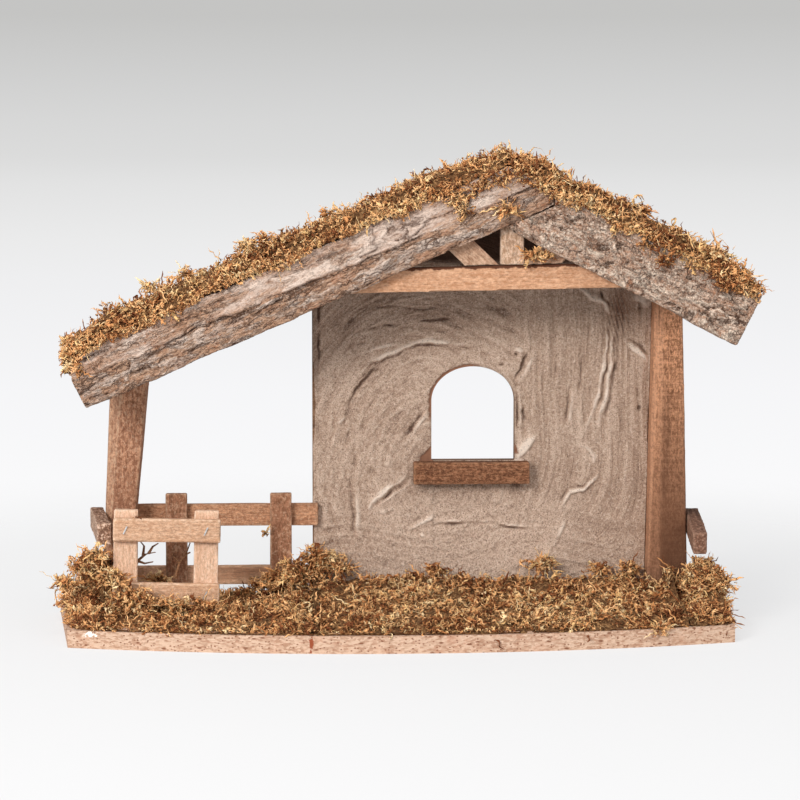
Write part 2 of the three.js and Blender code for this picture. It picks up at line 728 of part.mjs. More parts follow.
const screw = {
  length: SCREW_LENGTH,
  diameter: SCREW_DIAMETER,
  head: SCREW_HEAD_DIAMETER,
  cone: (SCREW_HEAD_DIAMETER - SCREW_DIAMETER) / 2 + SCREW_DIAMETER * HEAD_RIM_SHARE,
};
const nail = {
  length: NAIL_LENGTH,
  diameter: NAIL_DIAMETER,
  head: NAIL_HEAD_DIAMETER,
  cone: NAIL_DIAMETER * NAIL_CONE_SHARE,
};
const brad = {
  length: BRAD_LENGTH,
  diameter: BRAD_DIAMETER,
  head: BRAD_HEAD_DIAMETER,
  cone: BRAD_DIAMETER * NAIL_CONE_SHARE,
};

// Moss surfaces are lumpy: a slow wave and a quicker one across it
function lumps(x, y) {
  const turn = (2 * Math.PI) / LUMP_SPACING;
  const slow = Math.sin(turn * (x + y * LUMP_SLANT));
  const quick = Math.sin(turn * (x * RIPPLE_TURNS - y * RIPPLE_SLANT) + 1);
  return LUMP_HEIGHT * (slow + RIPPLE_SHARE * quick);
}

function roofMossTop(x, y, share) {
  const ridgeDip = ROOF_MOSS_RIDGE_DIP * Math.exp(-(((x - ridgeX) / ROOF_MOSS_RIDGE_REACH) ** 2));
  const thickness = ROOF_MOSS_THICKNESS - ridgeDip + lumps(x, y);
  return roofTop(x) + SEAT_GAP + share * thickness;
}

// Stations from front to back: the moss is full in the middle and rounds off towards both edges
function mossStations(front, back) {
  const shoulder = ROOF_MOSS_EDGE * ROOF_MOSS_SHOULDER_PLACE;
  const step = (back - front - 2 * ROOF_MOSS_EDGE) / ROOF_MOSS_ROWS;
  const middle = [];
  for (let i = 0; i <= ROOF_MOSS_ROWS; i++) middle.push([front + ROOF_MOSS_EDGE + i * step, 1]);
  return [
    [front, ROOF_MOSS_EDGE_SHARE],
    [front + shoulder, ROOF_MOSS_SHOULDER_SHARE],
    ...middle,
    [back - shoulder, ROOF_MOSS_SHOULDER_SHARE],
    [back, ROOF_MOSS_EDGE_SHARE],
  ];
}

function leftMossSection(y, share) {
  const eave = [leftEaveX, leftRoofTop(leftEaveX)];
  const reach = ridgeX - SEAT_GAP / 2 - leftEaveX;
  const radius = (ROOF_MOSS_EAVE_ROUND * (1 + share)) / 2;
  const drop = ROOF_MOSS_EAVE_DROP * share;
  const points = [];
  for (let i = 0; i <= ROOF_MOSS_STEPS; i++) {
    const x = leftEaveX + reach * (1 - i / ROOF_MOSS_STEPS);
    const taper = Math.min(1, (x - leftEaveX) / ROOF_MOSS_THICKNESS);
    const rounded = eave[1] + (x - leftEaveX) * Math.tan(LEFT_PITCH) + SEAT_GAP + radius;
    points.push([x, THREE.MathUtils.lerp(rounded, roofMossTop(x, y, share), taper)]);
  }
  for (let i = 1; i <= ROOF_MOSS_EAVE_STEPS; i++) {
    const angle = Math.PI / 2 + i * ROOF_MOSS_EAVE_STEP;
    points.push([eave[0] + radius * Math.cos(angle), eave[1] + SEAT_GAP + radius * Math.sin(angle)]);
  }
  points.push([eave[0] - radius * ROOF_MOSS_CURL_SHARE, eave[1] - drop]);
  points.push([eave[0] - SEAT_GAP * 2, eave[1] - drop]);
  points.push([eave[0] - SEAT_GAP * 2, eave[1] + SEAT_GAP]);
  points.push([ridgeX - SEAT_GAP / 2, leftRoofTop(ridgeX - SEAT_GAP / 2) + SEAT_GAP]);
  return points.map(([x, z]) => new THREE.Vector3(x, y, z));
}

function rightMossSection(y, share) {
  const start = ridgeX + SEAT_GAP / 2;
  const end = rightEaveX + RIGHT_BARK_LIP;
  const points = [];
  for (let i = 0; i <= ROOF_MOSS_STEPS; i++) {
    const x = start + ((end - start) * i) / ROOF_MOSS_STEPS;
    const inward = (end - x) / ROOF_MOSS_THICKNESS;
    const taper = Math.min(1, ROOF_MOSS_END_SHARE + (1 - ROOF_MOSS_END_SHARE) * inward);
    points.push([x, roofMossTop(x, y, share * taper)]);
  }
  points.push([end, rightRoofTop(end) + SEAT_GAP]);
  points.push([start, rightRoofTop(start) + SEAT_GAP]);
  return points.map(([x, z]) => new THREE.Vector3(x, y, z));
}

function roofMoss(section) {
  const stations = mossStations(barkFront - ROOF_MOSS_LIP, roofBack);
  return loft(stations.map(([y, share]) => section(y, share)), (p) => new THREE.Vector2(p.x, p.z));
}

// Moss beds on the base. The front follows the bow, and past the front corners it follows the sides.
function bedFront(x) {
  const past = Math.abs(x) - BASE_FRONT_WIDTH / 2 + BED_EDGE_INSET;
  if (past > 0) return baseCornerY + past / Math.tan(BASE_SPLAY) + BED_EDGE_INSET;
  return bowCentreY - Math.sqrt(bowRadius ** 2 - x ** 2) + BED_EDGE_INSET;
}

const heaps = [
  [leftPostX, (leftBevelY + leftRailFront) / 2, LEFT_HEAP_HEIGHT],
  [rightPostEndX, (leftBevelY + leftRailFront) / 2, RIGHT_HEAP_HEIGHT],
];

function bedTop(x, y, front, back, backThickness) {
  const along = (y - front) / (back - front);
  const nearest = Math.min(y - front, back - y);
  const edge = Math.min(1, BED_EDGE_SHARE + nearest / BED_EDGE_ROUND);
  let thickness = THREE.MathUtils.lerp(BED_FRONT_THICKNESS, backThickness, along) + lumps(x, y);
  for (const [hx, hy, height] of heaps)
    thickness += height * Math.exp(-(((x - hx) ** 2 + (y - hy) ** 2) / HEAP_SPREAD ** 2));
  return baseTop + thickness * edge;
}

function mossBed(from, to, back, backThickness) {
  const count = Math.ceil((to - from) / BED_STEP);
  const sections = [];
  for (let i = 0; i <= count; i++) {
    const x = from + ((to - from) * i) / count;
    const front = bedFront(x);
    const top = [];
    for (let j = 0; j <= BED_ROWS; j++) {
      const y = front + ((back - front) * j) / BED_ROWS;
      top.push(new THREE.Vector3(x, y, bedTop(x, y, front, back, backThickness)));
    }
    sections.push([...top, new THREE.Vector3(x, back, baseTop), new THREE.Vector3(x, front, baseTop)]);
  }
  return loft(sections, (p) => new THREE.Vector2(p.y, p.z));
}

// The assembly
const stable = new THREE.Group();
const group = () => {
  const made = new THREE.Group();
  stable.add(made);
  return made;
};

const base = piece("base_board", chipboard, baseBoard(), stable);

const wall = group();
const wallPanel = piece("wall_panel", plywood, wallBoard(), wall);
piece("wall_plaster", plaster, plasterCoat(), wall);
piece("window_sill", roughWood, windowSill(), wall);

const posts = group();
const leftPost = piece("left_post", roughWood,
  post(leftPostX, LEFT_POST_LEAN, leftPostWidths, leftPostBevels, leftPostBack), posts);
const rightPost = piece("right_post", roughWood,
  post(rightPostX, RIGHT_POST_LEAN, rightPostWidths, rightPostBevels, wallFront), posts);

const roof = group();
const leftBoard = piece("roof_board_left", plywood,
  roofBoard(leftEaveX, leftRoofTop, LEFT_PITCH, -1), roof);
const rightBoard = piece("roof_board_right", plywood,
  roofBoard(rightEaveX, rightRoofTop, RIGHT_PITCH, 1), roof);
const leftSlab = piece("bark_slab_left", bark, leftBark(), roof);
const rightSlab = piece("bark_slab_right", bark, rightBark(), roof);

const truss = group();
const tie = piece("tie_beam", cedar, tieBeam(), truss);
const king = piece("king_post", palePine, kingPost(), truss);
const leftStrut = piece("strut_left", palePine, strut(-1), truss);
const rightStrut = piece("strut_right", palePine, strut(1), truss);

const rearFence = group();
const rear = {};
for (const [name, x] of Object.entries(rearUprights))
  rear[name] = piece(name, roughWood, rearUpright(x), rearFence);
for (const [name, place] of Object.entries(rearRails))
  rear[name] = piece(name, roughWood, rearRail(place), rearFence);

const sideRails = group();
const leftRail = piece("left_side_rail", roughWood, leftSideRail(), sideRails);
const rightRail = piece("right_side_rail", roughWood, rightSideRail(), sideRails);

const frontFence = group();
frontFence.position.set(leftRailInnerX + SEAT_GAP + fenceHalf, leftRailFront, baseTop);
frontFence.rotation.y = FRONT_FENCE_TILT;
const front = {};
for (const [name, x] of Object.entries(frontUprights))
  front[name] = piece(name, palePine, frontUpright(x), frontFence);
for (const [name, z] of Object.entries(frontRails))
  front[name] = piece(name, palePine, frontRail(z), frontFence);

// Staples where each rail crosses an upright: in front on the front fence, behind on the rear one
for (const [uprightName, x] of Object.entries(frontUprights))
  for (const [railName, z] of Object.entries(frontRails)) {
    const place = uprightName.replace("front_fence_upright", railName.replace("_rail", "_staple"));
    addStaple(place, x + FRONT_UPRIGHT_WIDTH / 2, -FRONT_RAIL_THICKNESS, z + FRONT_RAIL_HEIGHT / 2, 1,
      frontFence, [front[railName], front[uprightName]]);
  }
for (const [uprightName, x] of Object.entries(rearUprights))
  for (const [railName, [z, height]] of Object.entries(rearRails)) {
    const place = uprightName.replace("rear_fence_upright", railName.replace("_rail", "_staple"));
    addStaple(place, x + REAR_UPRIGHT_WIDTH / 2, plasterFront, z + height / 2, -1,
      rearFence, [rear[railName], rear[uprightName]]);
  }
for (const [railName, [z, height]] of Object.entries(rearRails))
  addStaple(railName.replace("_rail", "_post_staple"), leftPostX + LEFT_POST_FOOT_WIDTH * POST_STAPLE_SHARE,
    plasterFront, z + height / 2, -1, rearFence, [rear[railName], leftPost]);

// Screws up through the base into the posts and the wall board
const fasteners = group();
const up = new THREE.Vector3(0, 0, 1);
const screwInto = (name, x, y, target) =>
  addFastener(name, new THREE.Vector3(x, y, 0), up, screw, fasteners, [base, target]);
const leftPostMiddle = [leftPostX + LEFT_POST_FOOT_WIDTH / 2, leftPostBack - POST_DEPTH / 2];
const rightPostMiddle = [rightPostEndX - RIGHT_POST_FOOT_WIDTH / 2, wallFront - POST_DEPTH / 2];
const wallMiddle = wallBack - WALL_THICKNESS / 2;
screwInto("base_screw_left_post", ...leftPostMiddle, leftPost);
screwInto("base_screw_right_post", ...rightPostMiddle, rightPost);
screwInto("base_screw_wall_left", wallX + WALL_WIDTH * WALL_SCREW_SHARES[0], wallMiddle, wallPanel);
screwInto("base_screw_wall_right", wallX + WALL_WIDTH * WALL_SCREW_SHARES[1], wallMiddle, wallPanel);

// Nails down through the roof boards, square to each slope
function nailRoof(name, x, y, roofPiece, target) {
  const pitch = x < ridgeX ? LEFT_PITCH : -RIGHT_PITCH;
  const direction = new THREE.Vector3(Math.sin(pitch), 0, -Math.cos(pitch));
  addFastener(name, new THREE.Vector3(x, y, roofTop(x)), direction, nail, fasteners, [roofPiece, target]);
}
const leftPostNailX = leftPostX + LEFT_POST_LEAN + LEFT_POST_TOP_WIDTH * LEFT_POST_NAIL_SHARE;
const rightPostNailX = rightPostX + RIGHT_POST_LEAN + RIGHT_POST_TOP_WIDTH * RIGHT_POST_NAIL_SHARE;
const postNailDepth = POST_DEPTH * POST_NAIL_DEPTH_SHARE;
const wallNailShift = WALL_WIDTH * WALL_NAIL_SHARE;
nailRoof("roof_nail_left_post", leftPostNailX, leftPostBack - postNailDepth, leftBoard, leftPost);
nailRoof("roof_nail_wall_left", wallX + wallNailShift, wallMiddle, leftBoard, wallPanel);
nailRoof("roof_nail_wall_middle", (ridgeX + wallX) / 2 + wallNailShift, wallMiddle, leftBoard, wallPanel);
nailRoof("roof_nail_wall_right", (ridgeX + wallEndX) / 2, wallMiddle, rightBoard, wallPanel);
nailRoof("roof_nail_right_post", rightPostNailX, wallFront - postNailDepth, rightBoard, rightPost);

// Brads from behind the truss into the bark
const forward = new THREE.Vector3(0, -1, 0);
const bradAt = (name, x, z, from, into) =>
  addFastener(name, new THREE.Vector3(x, trussBack, z), forward, brad, fasteners, [from, into]);
const tieMiddle = (x) => (tieBeamBottom(x) + tieBeamTop(x)) / 2;
const crossing = (edge) => (x) => (edge(x) + roofUnder(x)) / 2;
const tieBelowRidge = TIE_BEAM_DROP - TIE_BEAM_HEIGHT;
const tieLeftX = ridgeX - (tieBelowRidge / Math.tan(LEFT_PITCH)) * LEFT_BRAD_SHARE;
const tieRightX = ridgeX + (tieBelowRidge / Math.tan(RIGHT_PITCH)) * RIGHT_BRAD_SHARE;
bradAt("tie_beam_brad_left", tieLeftX, tieMiddle(tieLeftX), tie, leftSlab);
bradAt("tie_beam_brad_right", tieRightX, tieMiddle(tieRightX), tie, rightSlab);
bradAt("king_post_brad", kingPostX, crossing(leftBarkEdge)(kingPostX), king, leftSlab);

// Nails from outside through the side rails into the posts
const railNailLift = SIDE_RAIL_HEIGHT * RAIL_NAIL_SHARE;
const leftRailNailZ = baseTop + LEFT_RAIL_ABOVE_BASE + LEFT_RAIL_RISE + railNailLift;
const leftRailNailY = leftBevelY + (leftPostBack - leftBevelY) / 2;
const leftRailOuter = leftPostFace(leftRailNailZ) - SEAT_GAP - SIDE_RAIL_WIDTH
  - (leftRailNailY - leftBevelY) * Math.tan(LEFT_RAIL_SPLAY);
addFastener("left_rail_nail", new THREE.Vector3(leftRailOuter, leftRailNailY, leftRailNailZ),
  new THREE.Vector3(1, 0, 0), nail, fasteners, [leftRail, leftPost]);
const rightRailNailZ = baseTop + RIGHT_RAIL_ABOVE_BASE + RIGHT_RAIL_RISE + railNailLift;
const rightRailNailY = rightPostFrontY + POST_DEPTH / 2;
const rightRailOuter = rightPostFace(rightRailNailZ) + SEAT_GAP + SIDE_RAIL_WIDTH
  + (rightRailNailY - rightPostFrontY) * Math.tan(RIGHT_RAIL_SPLAY);
addFastener("right_rail_nail", new THREE.Vector3(rightRailOuter, rightRailNailY, rightRailNailZ),
  new THREE.Vector3(-1, 0, 0), nail, fasteners, [rightRail, rightPost]);

// Moss last, cut clear of all that stands in it
piece("roof_moss_left", moss, roofMoss(leftMossSection), roof);
piece("roof_moss_right", moss, roofMoss(rightMossSection), roof);

const beds = group();
const bedBack = baseBack - BED_EDGE_INSET;
const bedEnd = baseBackHalf - BED_EDGE_INSET * 2;
const wallFoot = plasterFront - SEAT_GAP;
const standing = {
  moss_bed_left: [leftPost, leftRail],
  moss_bed_pen: [leftPost, leftRail, ...Object.values(rear), ...Object.values(front)],
  moss_bed_yard: [rear.rear_fence_bottom_rail, rightPost],
  moss_bed_right: [rightPost, rightRail, wallPanel],
};
const penX = leftPostX + LEFT_POST_FOOT_WIDTH / 4;
const besideX = rightPostX + RIGHT_POST_FOOT_WIDTH / 2;
const bedSpans = {
  moss_bed_left: [-bedEnd, penX - SEAT_GAP, bedBack, PEN_BACK_THICKNESS],
  moss_bed_pen: [penX, wallX - SEAT_GAP, bedBack, PEN_BACK_THICKNESS],
  moss_bed_yard: [wallX, besideX - SEAT_GAP, wallFoot, YARD_BACK_THICKNESS],
  moss_bed_right: [besideX, bedEnd, bedBack, YARD_BACK_THICKNESS],
};
for (const [name, span] of Object.entries(bedSpans)) {
  const bed = piece(name, moss, mossBed(...span), beds);
  carveRoundAbout(bed, standing[name]);
}

export default stable;
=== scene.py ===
"""Looks of a rustic nativity stable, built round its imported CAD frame.

Metres, +Z up, +X to the viewer's right and +Y to the back wall.
"""

import json
import logging
import math
from dataclasses import dataclass
from enum import Enum
from functools import reduce
from typing import Callable, Sequence

import bpy
import numpy as np
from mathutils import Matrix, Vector

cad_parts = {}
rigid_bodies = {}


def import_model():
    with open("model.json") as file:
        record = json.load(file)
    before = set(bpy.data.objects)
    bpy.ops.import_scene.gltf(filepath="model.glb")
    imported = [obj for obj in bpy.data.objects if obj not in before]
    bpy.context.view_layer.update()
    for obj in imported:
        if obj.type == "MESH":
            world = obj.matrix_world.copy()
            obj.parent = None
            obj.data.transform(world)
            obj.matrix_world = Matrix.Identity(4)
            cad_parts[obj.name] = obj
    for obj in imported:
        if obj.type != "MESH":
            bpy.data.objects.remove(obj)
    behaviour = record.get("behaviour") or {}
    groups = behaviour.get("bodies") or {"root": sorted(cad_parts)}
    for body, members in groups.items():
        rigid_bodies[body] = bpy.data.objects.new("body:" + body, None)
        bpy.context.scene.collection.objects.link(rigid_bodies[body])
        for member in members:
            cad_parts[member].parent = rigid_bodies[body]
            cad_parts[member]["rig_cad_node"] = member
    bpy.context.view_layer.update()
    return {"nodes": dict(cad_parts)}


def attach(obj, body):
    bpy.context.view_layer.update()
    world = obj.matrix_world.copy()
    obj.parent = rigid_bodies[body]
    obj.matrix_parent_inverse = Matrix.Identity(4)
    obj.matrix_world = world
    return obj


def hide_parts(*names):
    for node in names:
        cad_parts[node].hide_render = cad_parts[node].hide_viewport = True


MM = 0.001
ROOT = "root"
Array = np.ndarray
Shape = tuple[Array, Array]
Colour = Point = tuple[float, float, float]
Points = tuple[Point, ...]
Clump = tuple[float, float, float, float, int]
Node = bpy.types.Node
Socket = bpy.types.NodeSocket
Piece = bpy.types.Object

log = logging.getLogger("stable")


# Selection and mesh tools


def deselect_all() -> None:
    """Leaves no object selected or active."""
    for obj in bpy.context.view_layer.objects:
        obj.select_set(False)
    bpy.context.view_layer.objects.active = None


def activate(obj: Piece) -> None:
    """Makes one object the only selected and active one."""
    deselect_all()
    obj.select_set(True)
    bpy.context.view_layer.objects.active = obj


def begin_edit() -> None:
    """Opens the active object's mesh with all of it selected."""
    bpy.ops.object.mode_set(mode="EDIT")
    bpy.ops.mesh.select_all(action="SELECT")


def end_edit(triangles: bool = False) -> None:
    """Turns the open mesh's faces outward, splits them into triangles if asked, and closes the mesh.

    Args:
        triangles: Whether the faces are split into triangles.
    """
    bpy.ops.mesh.select_all(action="SELECT")
    bpy.ops.mesh.normals_make_consistent(inside=False)
    if triangles:
        bpy.ops.mesh.quads_convert_to_tris()
    bpy.ops.object.mode_set(mode="OBJECT")


def delete_faces(obj: Piece, lost: Array) -> None:
    """Deletes some of an object's faces and leaves its mesh open.

    Args:
        obj: The active object.
        lost: Whether each face goes.
    """
    bpy.ops.object.mode_set(mode="EDIT")
    bpy.ops.mesh.select_mode(type="FACE")
    bpy.ops.mesh.select_all(action="DESELECT")
    bpy.ops.object.mode_set(mode="OBJECT")
    obj.data.polygons.foreach_set("select", lost)
    bpy.ops.object.mode_set(mode="EDIT")
    bpy.ops.mesh.delete(type="FACE")


def remeshed(node: str, ending: str, cell: float, hull: bool = False) -> Piece:
    """Copies a CAD node's shape in small even faces, as the start of the piece that replaces it.

    Args:
        node: The CAD node.
        ending: What the piece's name adds to the node's.
        cell: The faces' size.
        hull: Whether the copy is wrapped in its hull first, which closes the holes of its fasteners.

    Returns:
        The new object.
    """
    obj = bpy.data.objects.new(node + ending, bpy.data.objects[node].data.copy())
    bpy.context.scene.collection.objects.link(obj)
    activate(obj)
    begin_edit()
    bpy.ops.mesh.remove_doubles(threshold=0.002 * MM)
    if hull:
        bpy.ops.mesh.convex_hull(delete_unused=True, join_triangles=True)
    end_edit()
    modifier = obj.modifiers.new("remesh", "REMESH")
    modifier.mode, modifier.voxel_size, modifier.adaptivity = "VOXEL", cell, 0
    bpy.ops.object.modifier_apply(modifier=modifier.name)
    return obj


def rows(*columns: object) -> Array:
    """Puts columns side by side as rows. A column can be one number."""
    return np.stack(np.broadcast_arrays(*columns), 1)


def points_of(obj: Piece) -> Array:
    """Gives an object's vertices as rows of X, Y and Z."""
    flat = np.empty(len(obj.data.vertices) * 3, np.float32)
    obj.data.vertices.foreach_get("co", flat)
    return flat.reshape(-1, 3).astype(float)


def normals_of(obj: Piece) -> Array:
    """Gives an object's vertex normals as rows of X, Y and Z."""
    flat = np.empty(len(obj.data.vertices) * 3, np.float32)
    obj.data.vertex_normals.foreach_get("vector", flat)
    return flat.reshape(-1, 3).astype(float)


def move_points(obj: Piece, points: Array) -> None:
    """Puts an object's vertices at new places, given as rows of X, Y and Z."""
    obj.data.vertices.foreach_set("co", points.astype(np.float32).ravel())
    obj.data.update()


def set_attributes(obj: Piece, **values: Array) -> None:
    """Stores numbers or vectors under their names for the materials to read.

    Args:
        obj: The object.
        values: One number, or one row of three, per vertex.
    """
    for name, array in values.items():
        kind, key = ("FLOAT_VECTOR", "vector") if array.ndim == 2 else ("FLOAT", "value")
        attribute = obj.data.attributes.new(name, kind, "POINT")
        attribute.data.foreach_set(key, array.astype(np.float32).ravel())


def mesh_from(name: str, points: Array, faces: Array) -> Piece:
    """Makes an object from points and equal-sized faces.

    Args:
        name: The object's name.
        points: Rows of X, Y and Z.
        faces: Rows of point numbers, each row one face.

    Returns:
        The new object, linked to the scene.
    """
    mesh = bpy.data.meshes.new(name)
    sides = faces.shape[1]
    mesh.vertices.add(len(points))
    mesh.vertices.foreach_set("co", points.astype(np.float32).ravel())
    mesh.loops.add(faces.size)
    mesh.loops.foreach_set("vertex_index", faces.astype(np.int32).ravel())
    mesh.polygons.add(len(faces))
    mesh.polygons.foreach_set("loop_start", np.arange(0, faces.size, sides, dtype=np.int32))
    mesh.update(calc_edges=True)
    obj = bpy.data.objects.new(name, mesh)
    bpy.context.scene.collection.objects.link(obj)
    return obj


def smooth(obj: Piece, angle: float) -> None:
    """Shades an object smoothly except over edges sharper than an angle in degrees."""
    activate(obj)
    bpy.ops.object.shade_smooth_by_angle(angle=math.radians(angle))


def settle(obj: Piece, slot: str, *nodes: str) -> Piece:
    """Rides a finished piece on the stable and hides the CAD nodes that it stands for.

    Args:
        obj: The finished piece.
        slot: The record's material slot. It is not used.
        nodes: The CAD nodes that it replaces.

    Returns:
        The same piece.
    """
    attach(obj, ROOT)
    if nodes:
        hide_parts(*nodes)
    log.info("%s: %d faces", obj.name, len(obj.data.polygons))
    return obj


class Field:
    """Smooth seeded noise over rows of points, from -1 to 1."""

    SIZE = 8192
    PRIMES = (73856093, 19349663, 83492791)
    STEPS = (0, 1013, 2027, 3041, 4057)

    def __init__(self, seed: int) -> None:
        """Fills the table of random values, the same in every run."""
        self.table = np.random.default_rng(seed).uniform(-1, 1, self.SIZE)

    def draw(self, *cells: Array, step: int = 0) -> Array:
        """Gives the random value of each cell, told by its whole coordinates."""
        mixed = reduce(np.bitwise_xor, (cell * prime for cell, prime in zip(cells, self.PRIMES)))
        return self.table[(mixed + step) % self.SIZE]

    def at(self, points: Array) -> Array:
        """Gives smooth noise with features about one unit across.

        Args:
            points: Rows of three coordinates, already scaled.

        Returns:
            One value per row.
        """
        cell = np.floor(points).astype(np.int64)
        part = points - cell
        part = part * part * (3 - 2 * part)
        total = np.zeros(len(points))
        for dx in (0, 1):
            for dy in (0, 1):
                for dz in (0, 1):
                    weight = np.ones(len(points))
                    for k, d in enumerate((dx, dy, dz)):
                        weight = weight * (part[:, k] if d else 1 - part[:, k])
                    total += weight * self.draw(cell[:, 0] + dx, cell[:, 1] + dy, cell[:, 2] + dz)
        return total

    def rough(self, points: Array, octaves: int = 4, fade: float = 0.5) -> Array:
        """Gives noise with finer and finer detail.

        Args:
            points: Rows of three coordinates, already scaled.
            octaves: How many layers are added up.
            fade: How much weaker each finer layer is.

        Returns:
            One value per row, about from -1 to 1.
        """
        total = np.zeros(len(points))
        weight, spread = 1.0, 0.0
        for octave in range(octaves):
            total += weight * self.at(points * 2.0**octave + 17.3 * octave)
            spread += weight
            weight *= fade
        return total / spread

    def flakes(self, u: Array, v: Array) -> tuple[Array, Array, Array]:
        """Splits a plane into ragged flakes about one unit across.

        Args:
            u: First coordinate of each point, already scaled.
            v: Second coordinate.

        Returns:
            Each point's flake as a random value, its height on the tilted flake and its way to the edge.
        """
        cell_u, cell_v = np.floor(u).astype(np.int64), np.floor(v).astype(np.int64)
        first, second = np.full(len(u), 9.0), np.full(len(u), 9.0)
        value, tilt = np.zeros(len(u)), np.zeros(len(u))
        for du in (-1, 0, 1):
            for dv in (-1, 0, 1):
                draws = [self.draw(cell_u + du, cell_v + dv, step=step) for step in self.STEPS]
                off_u = u - (cell_u + du + 0.5 + 0.45 * draws[0])
                off_v = v - (cell_v + dv + 0.5 + 0.45 * draws[1])
                away = np.hypot(off_u, off_v)
                near = away < first
                second = np.where(near, first, np.minimum(second, away))
                value = np.where(near, draws[2], value)
                tilt = np.where(near, off_u * draws[3] + off_v * draws[4], tilt)
                first = np.where(near, away, first)
        return value, tilt, second - first


def ease(low: float, high: float, values: Array) -> Array:
    """Rises smoothly from 0 at low to 1 at high."""
    share = np.clip((values - low) / (high - low), 0, 1)
    return share * share * (3 - 2 * share)


# Materials


class Tree:
    """A node tree under construction, with short calls for the nodes that the finishes share."""

    def __init__(self, tree: bpy.types.NodeTree) -> None:
        """Empties a tree and keeps it."""
        self.tree = tree
        tree.nodes.clear()

    def add(self, kind: str, props: dict[str, object] | None = None, **inputs: object) -> Node:
        """Adds a node.

        Args:
            kind: The node's type without ShaderNode in front.
            props: Values for the node's own properties.
            inputs: A value or a socket for each named input, with _ for a space.

        Returns:
            The node.
        """
        node = self.tree.nodes.new("ShaderNode" + kind)
        for key, value in (props or {}).items():
            setattr(node, key, value)
        for key, value in inputs.items():
            self.feed(node.inputs[key.replace("_", " ")], value)
        return node

    def feed(self, socket: Socket, value: object) -> None:
        """Links a socket to an input, or sets the input's value.

        Args:
            socket: The input.
            value: A socket or a plain value. A colour has three numbers.
        """
        if isinstance(value, Socket):
            self.tree.links.new(value, socket)
        elif isinstance(value, tuple) and len(value) == 3 and socket.type == "RGBA":
            socket.default_value = (*value, 1)
        else:
            socket.default_value = value

    def join(self, kind: str, props: dict[str, object], *items: object) -> Node:
        """Adds a node and feeds its inputs in their order.

        Args:
            kind: The node's type without ShaderNode in front.
            props: Values for the node's own properties.
            items: A value or a socket for each input, from the first one on.

        Returns:
            The node.
        """
        node = self.add(kind, props)
        for socket, item in zip(node.inputs, items):
            self.feed(socket, item)
        return node

    def math(self, operation: str, a: object, b: object) -> Socket:
        """Adds a math node and gives its result."""
        return self.join("Math", {"operation": operation}, a, b).outputs[0]

    def plus(self, a: object, b: object) -> Socket:
        """Adds two values."""
        return self.math("ADD", a, b)

    def minus(self, a: object, b: object) -> Socket:
        """Takes the second value from the first."""
        return self.math("SUBTRACT", a, b)

    def times(self, a: object, b: object) -> Socket:
        """Multiplies two values."""
        return self.math("MULTIPLY", a, b)

    def weighted(self, *terms: tuple[object, float]) -> Socket:
        """Adds values up, each times its weight."""
        return reduce(self.plus, [self.times(value, weight) for value, weight in terms])

    def scaled(self, vector: object, scale: Point) -> Socket:
        """Multiplies a vector by one number per axis."""
        return self.join("VectorMath", {"operation": "MULTIPLY"}, vector, scale).outputs[0]

    def shifted(self, vector: object, shift: object) -> Socket:
        """Adds a vector to another."""
        return self.join("VectorMath", {"operation": "ADD"}, vector, shift).outputs[0]

    def length(self, vector: object) -> Socket:
        """Gives a vector's length."""
        return self.join("VectorMath", {"operation": "LENGTH"}, vector).outputs["Value"]

    def noise(self, vector: object, scale: object, detail: float = 4, roughness: float = 0.55,
              distortion: float = 0) -> Socket:
        """Adds a noise texture and gives its value, from 0 to 1."""
        node = self.add("TexNoise", Vector=vector, Scale=scale, Detail=detail, Roughness=roughness,
                        Distortion=distortion)
        return node.outputs[0]

    def cells(self, vector: object, scale: object) -> Node:
        """Adds a Voronoi texture."""
        return self.add("TexVoronoi", Vector=vector, Scale=scale)

    def span(self, value: object, low: float, high: float, out_low: float = 0, out_high: float = 1) -> Socket:
        """Maps a range of a value to another range, held at its ends."""
        props = {"interpolation_type": "SMOOTHSTEP"}
        return self.join("MapRange", props, value, low, high, out_low, out_high).outputs[0]

    def mix(self, share: object, a: object, b: object) -> Socket:
        """Mixes two colours.

        Args:
            share: The share of the second colour.
            a: The first colour.
            b: The second colour.

        Returns:
            The mixed colour.
        """
        node = self.add("Mix", {"data_type": "RGBA", "clamp_factor": True})
        for index, item in ((0, share), (6, a), (7, b)):
            self.feed(node.inputs[index], item)
        return node.outputs[2]

    def ramp(self, value: object, stops: Sequence[tuple[float, Colour]]) -> Socket:
        """Turns a value into a colour along a row of stops.

        Args:
            value: The value.
            stops: Each stop's place and colour.

        Returns:
            The colour.
        """
        node = self.add("ValToRGB", Fac=value)
        elements = node.color_ramp.elements
        while len(elements) < len(stops):
            elements.new(0.5)
        for element, (place, colour) in zip(elements, stops):
            element.position = place
            element.color = (*colour, 1)
        return node.outputs[0]

    def attribute(self, name: str, vector: bool = False) -> Socket:
        """Reads a mesh attribute as a number or a vector."""
        node = self.add("Attribute", {"attribute_name": name})
        return node.outputs["Vector" if vector else "Fac"]

    def place(self) -> Socket:
        """Gives the Object coordinates."""
        return self.add("TexCoord").outputs["Object"]

    def bump(self, height: object, depth: float, strength: float) -> Socket:
        """Adds a bump node, as deep in metres as a height of 1 is, and gives its normal."""
        return self.add("Bump", Height=height, Distance=depth, Strength=strength).outputs[0]

    def mix_shaders(self, share: object, first: Node, second: Node) -> Node:
        """Mixes two shaders."""
        return self.join("MixShader", {}, share, first.outputs[0], second.outputs[0])

    def group(self, effect: "Effect", **inputs: object) -> Node:
        """Places one of the shared effects with its own values.

        Args:
            effect: Which effect.
            inputs: A value or a socket for each named input, with _ for a space.

        Returns:
            The node.
        """
        node = self.tree.nodes.new("ShaderNodeGroup")
        node.node_tree = effect_group(effect)
        for key, value in inputs.items():
            self.feed(node.inputs[key.replace("_", " ")], value)
        return node

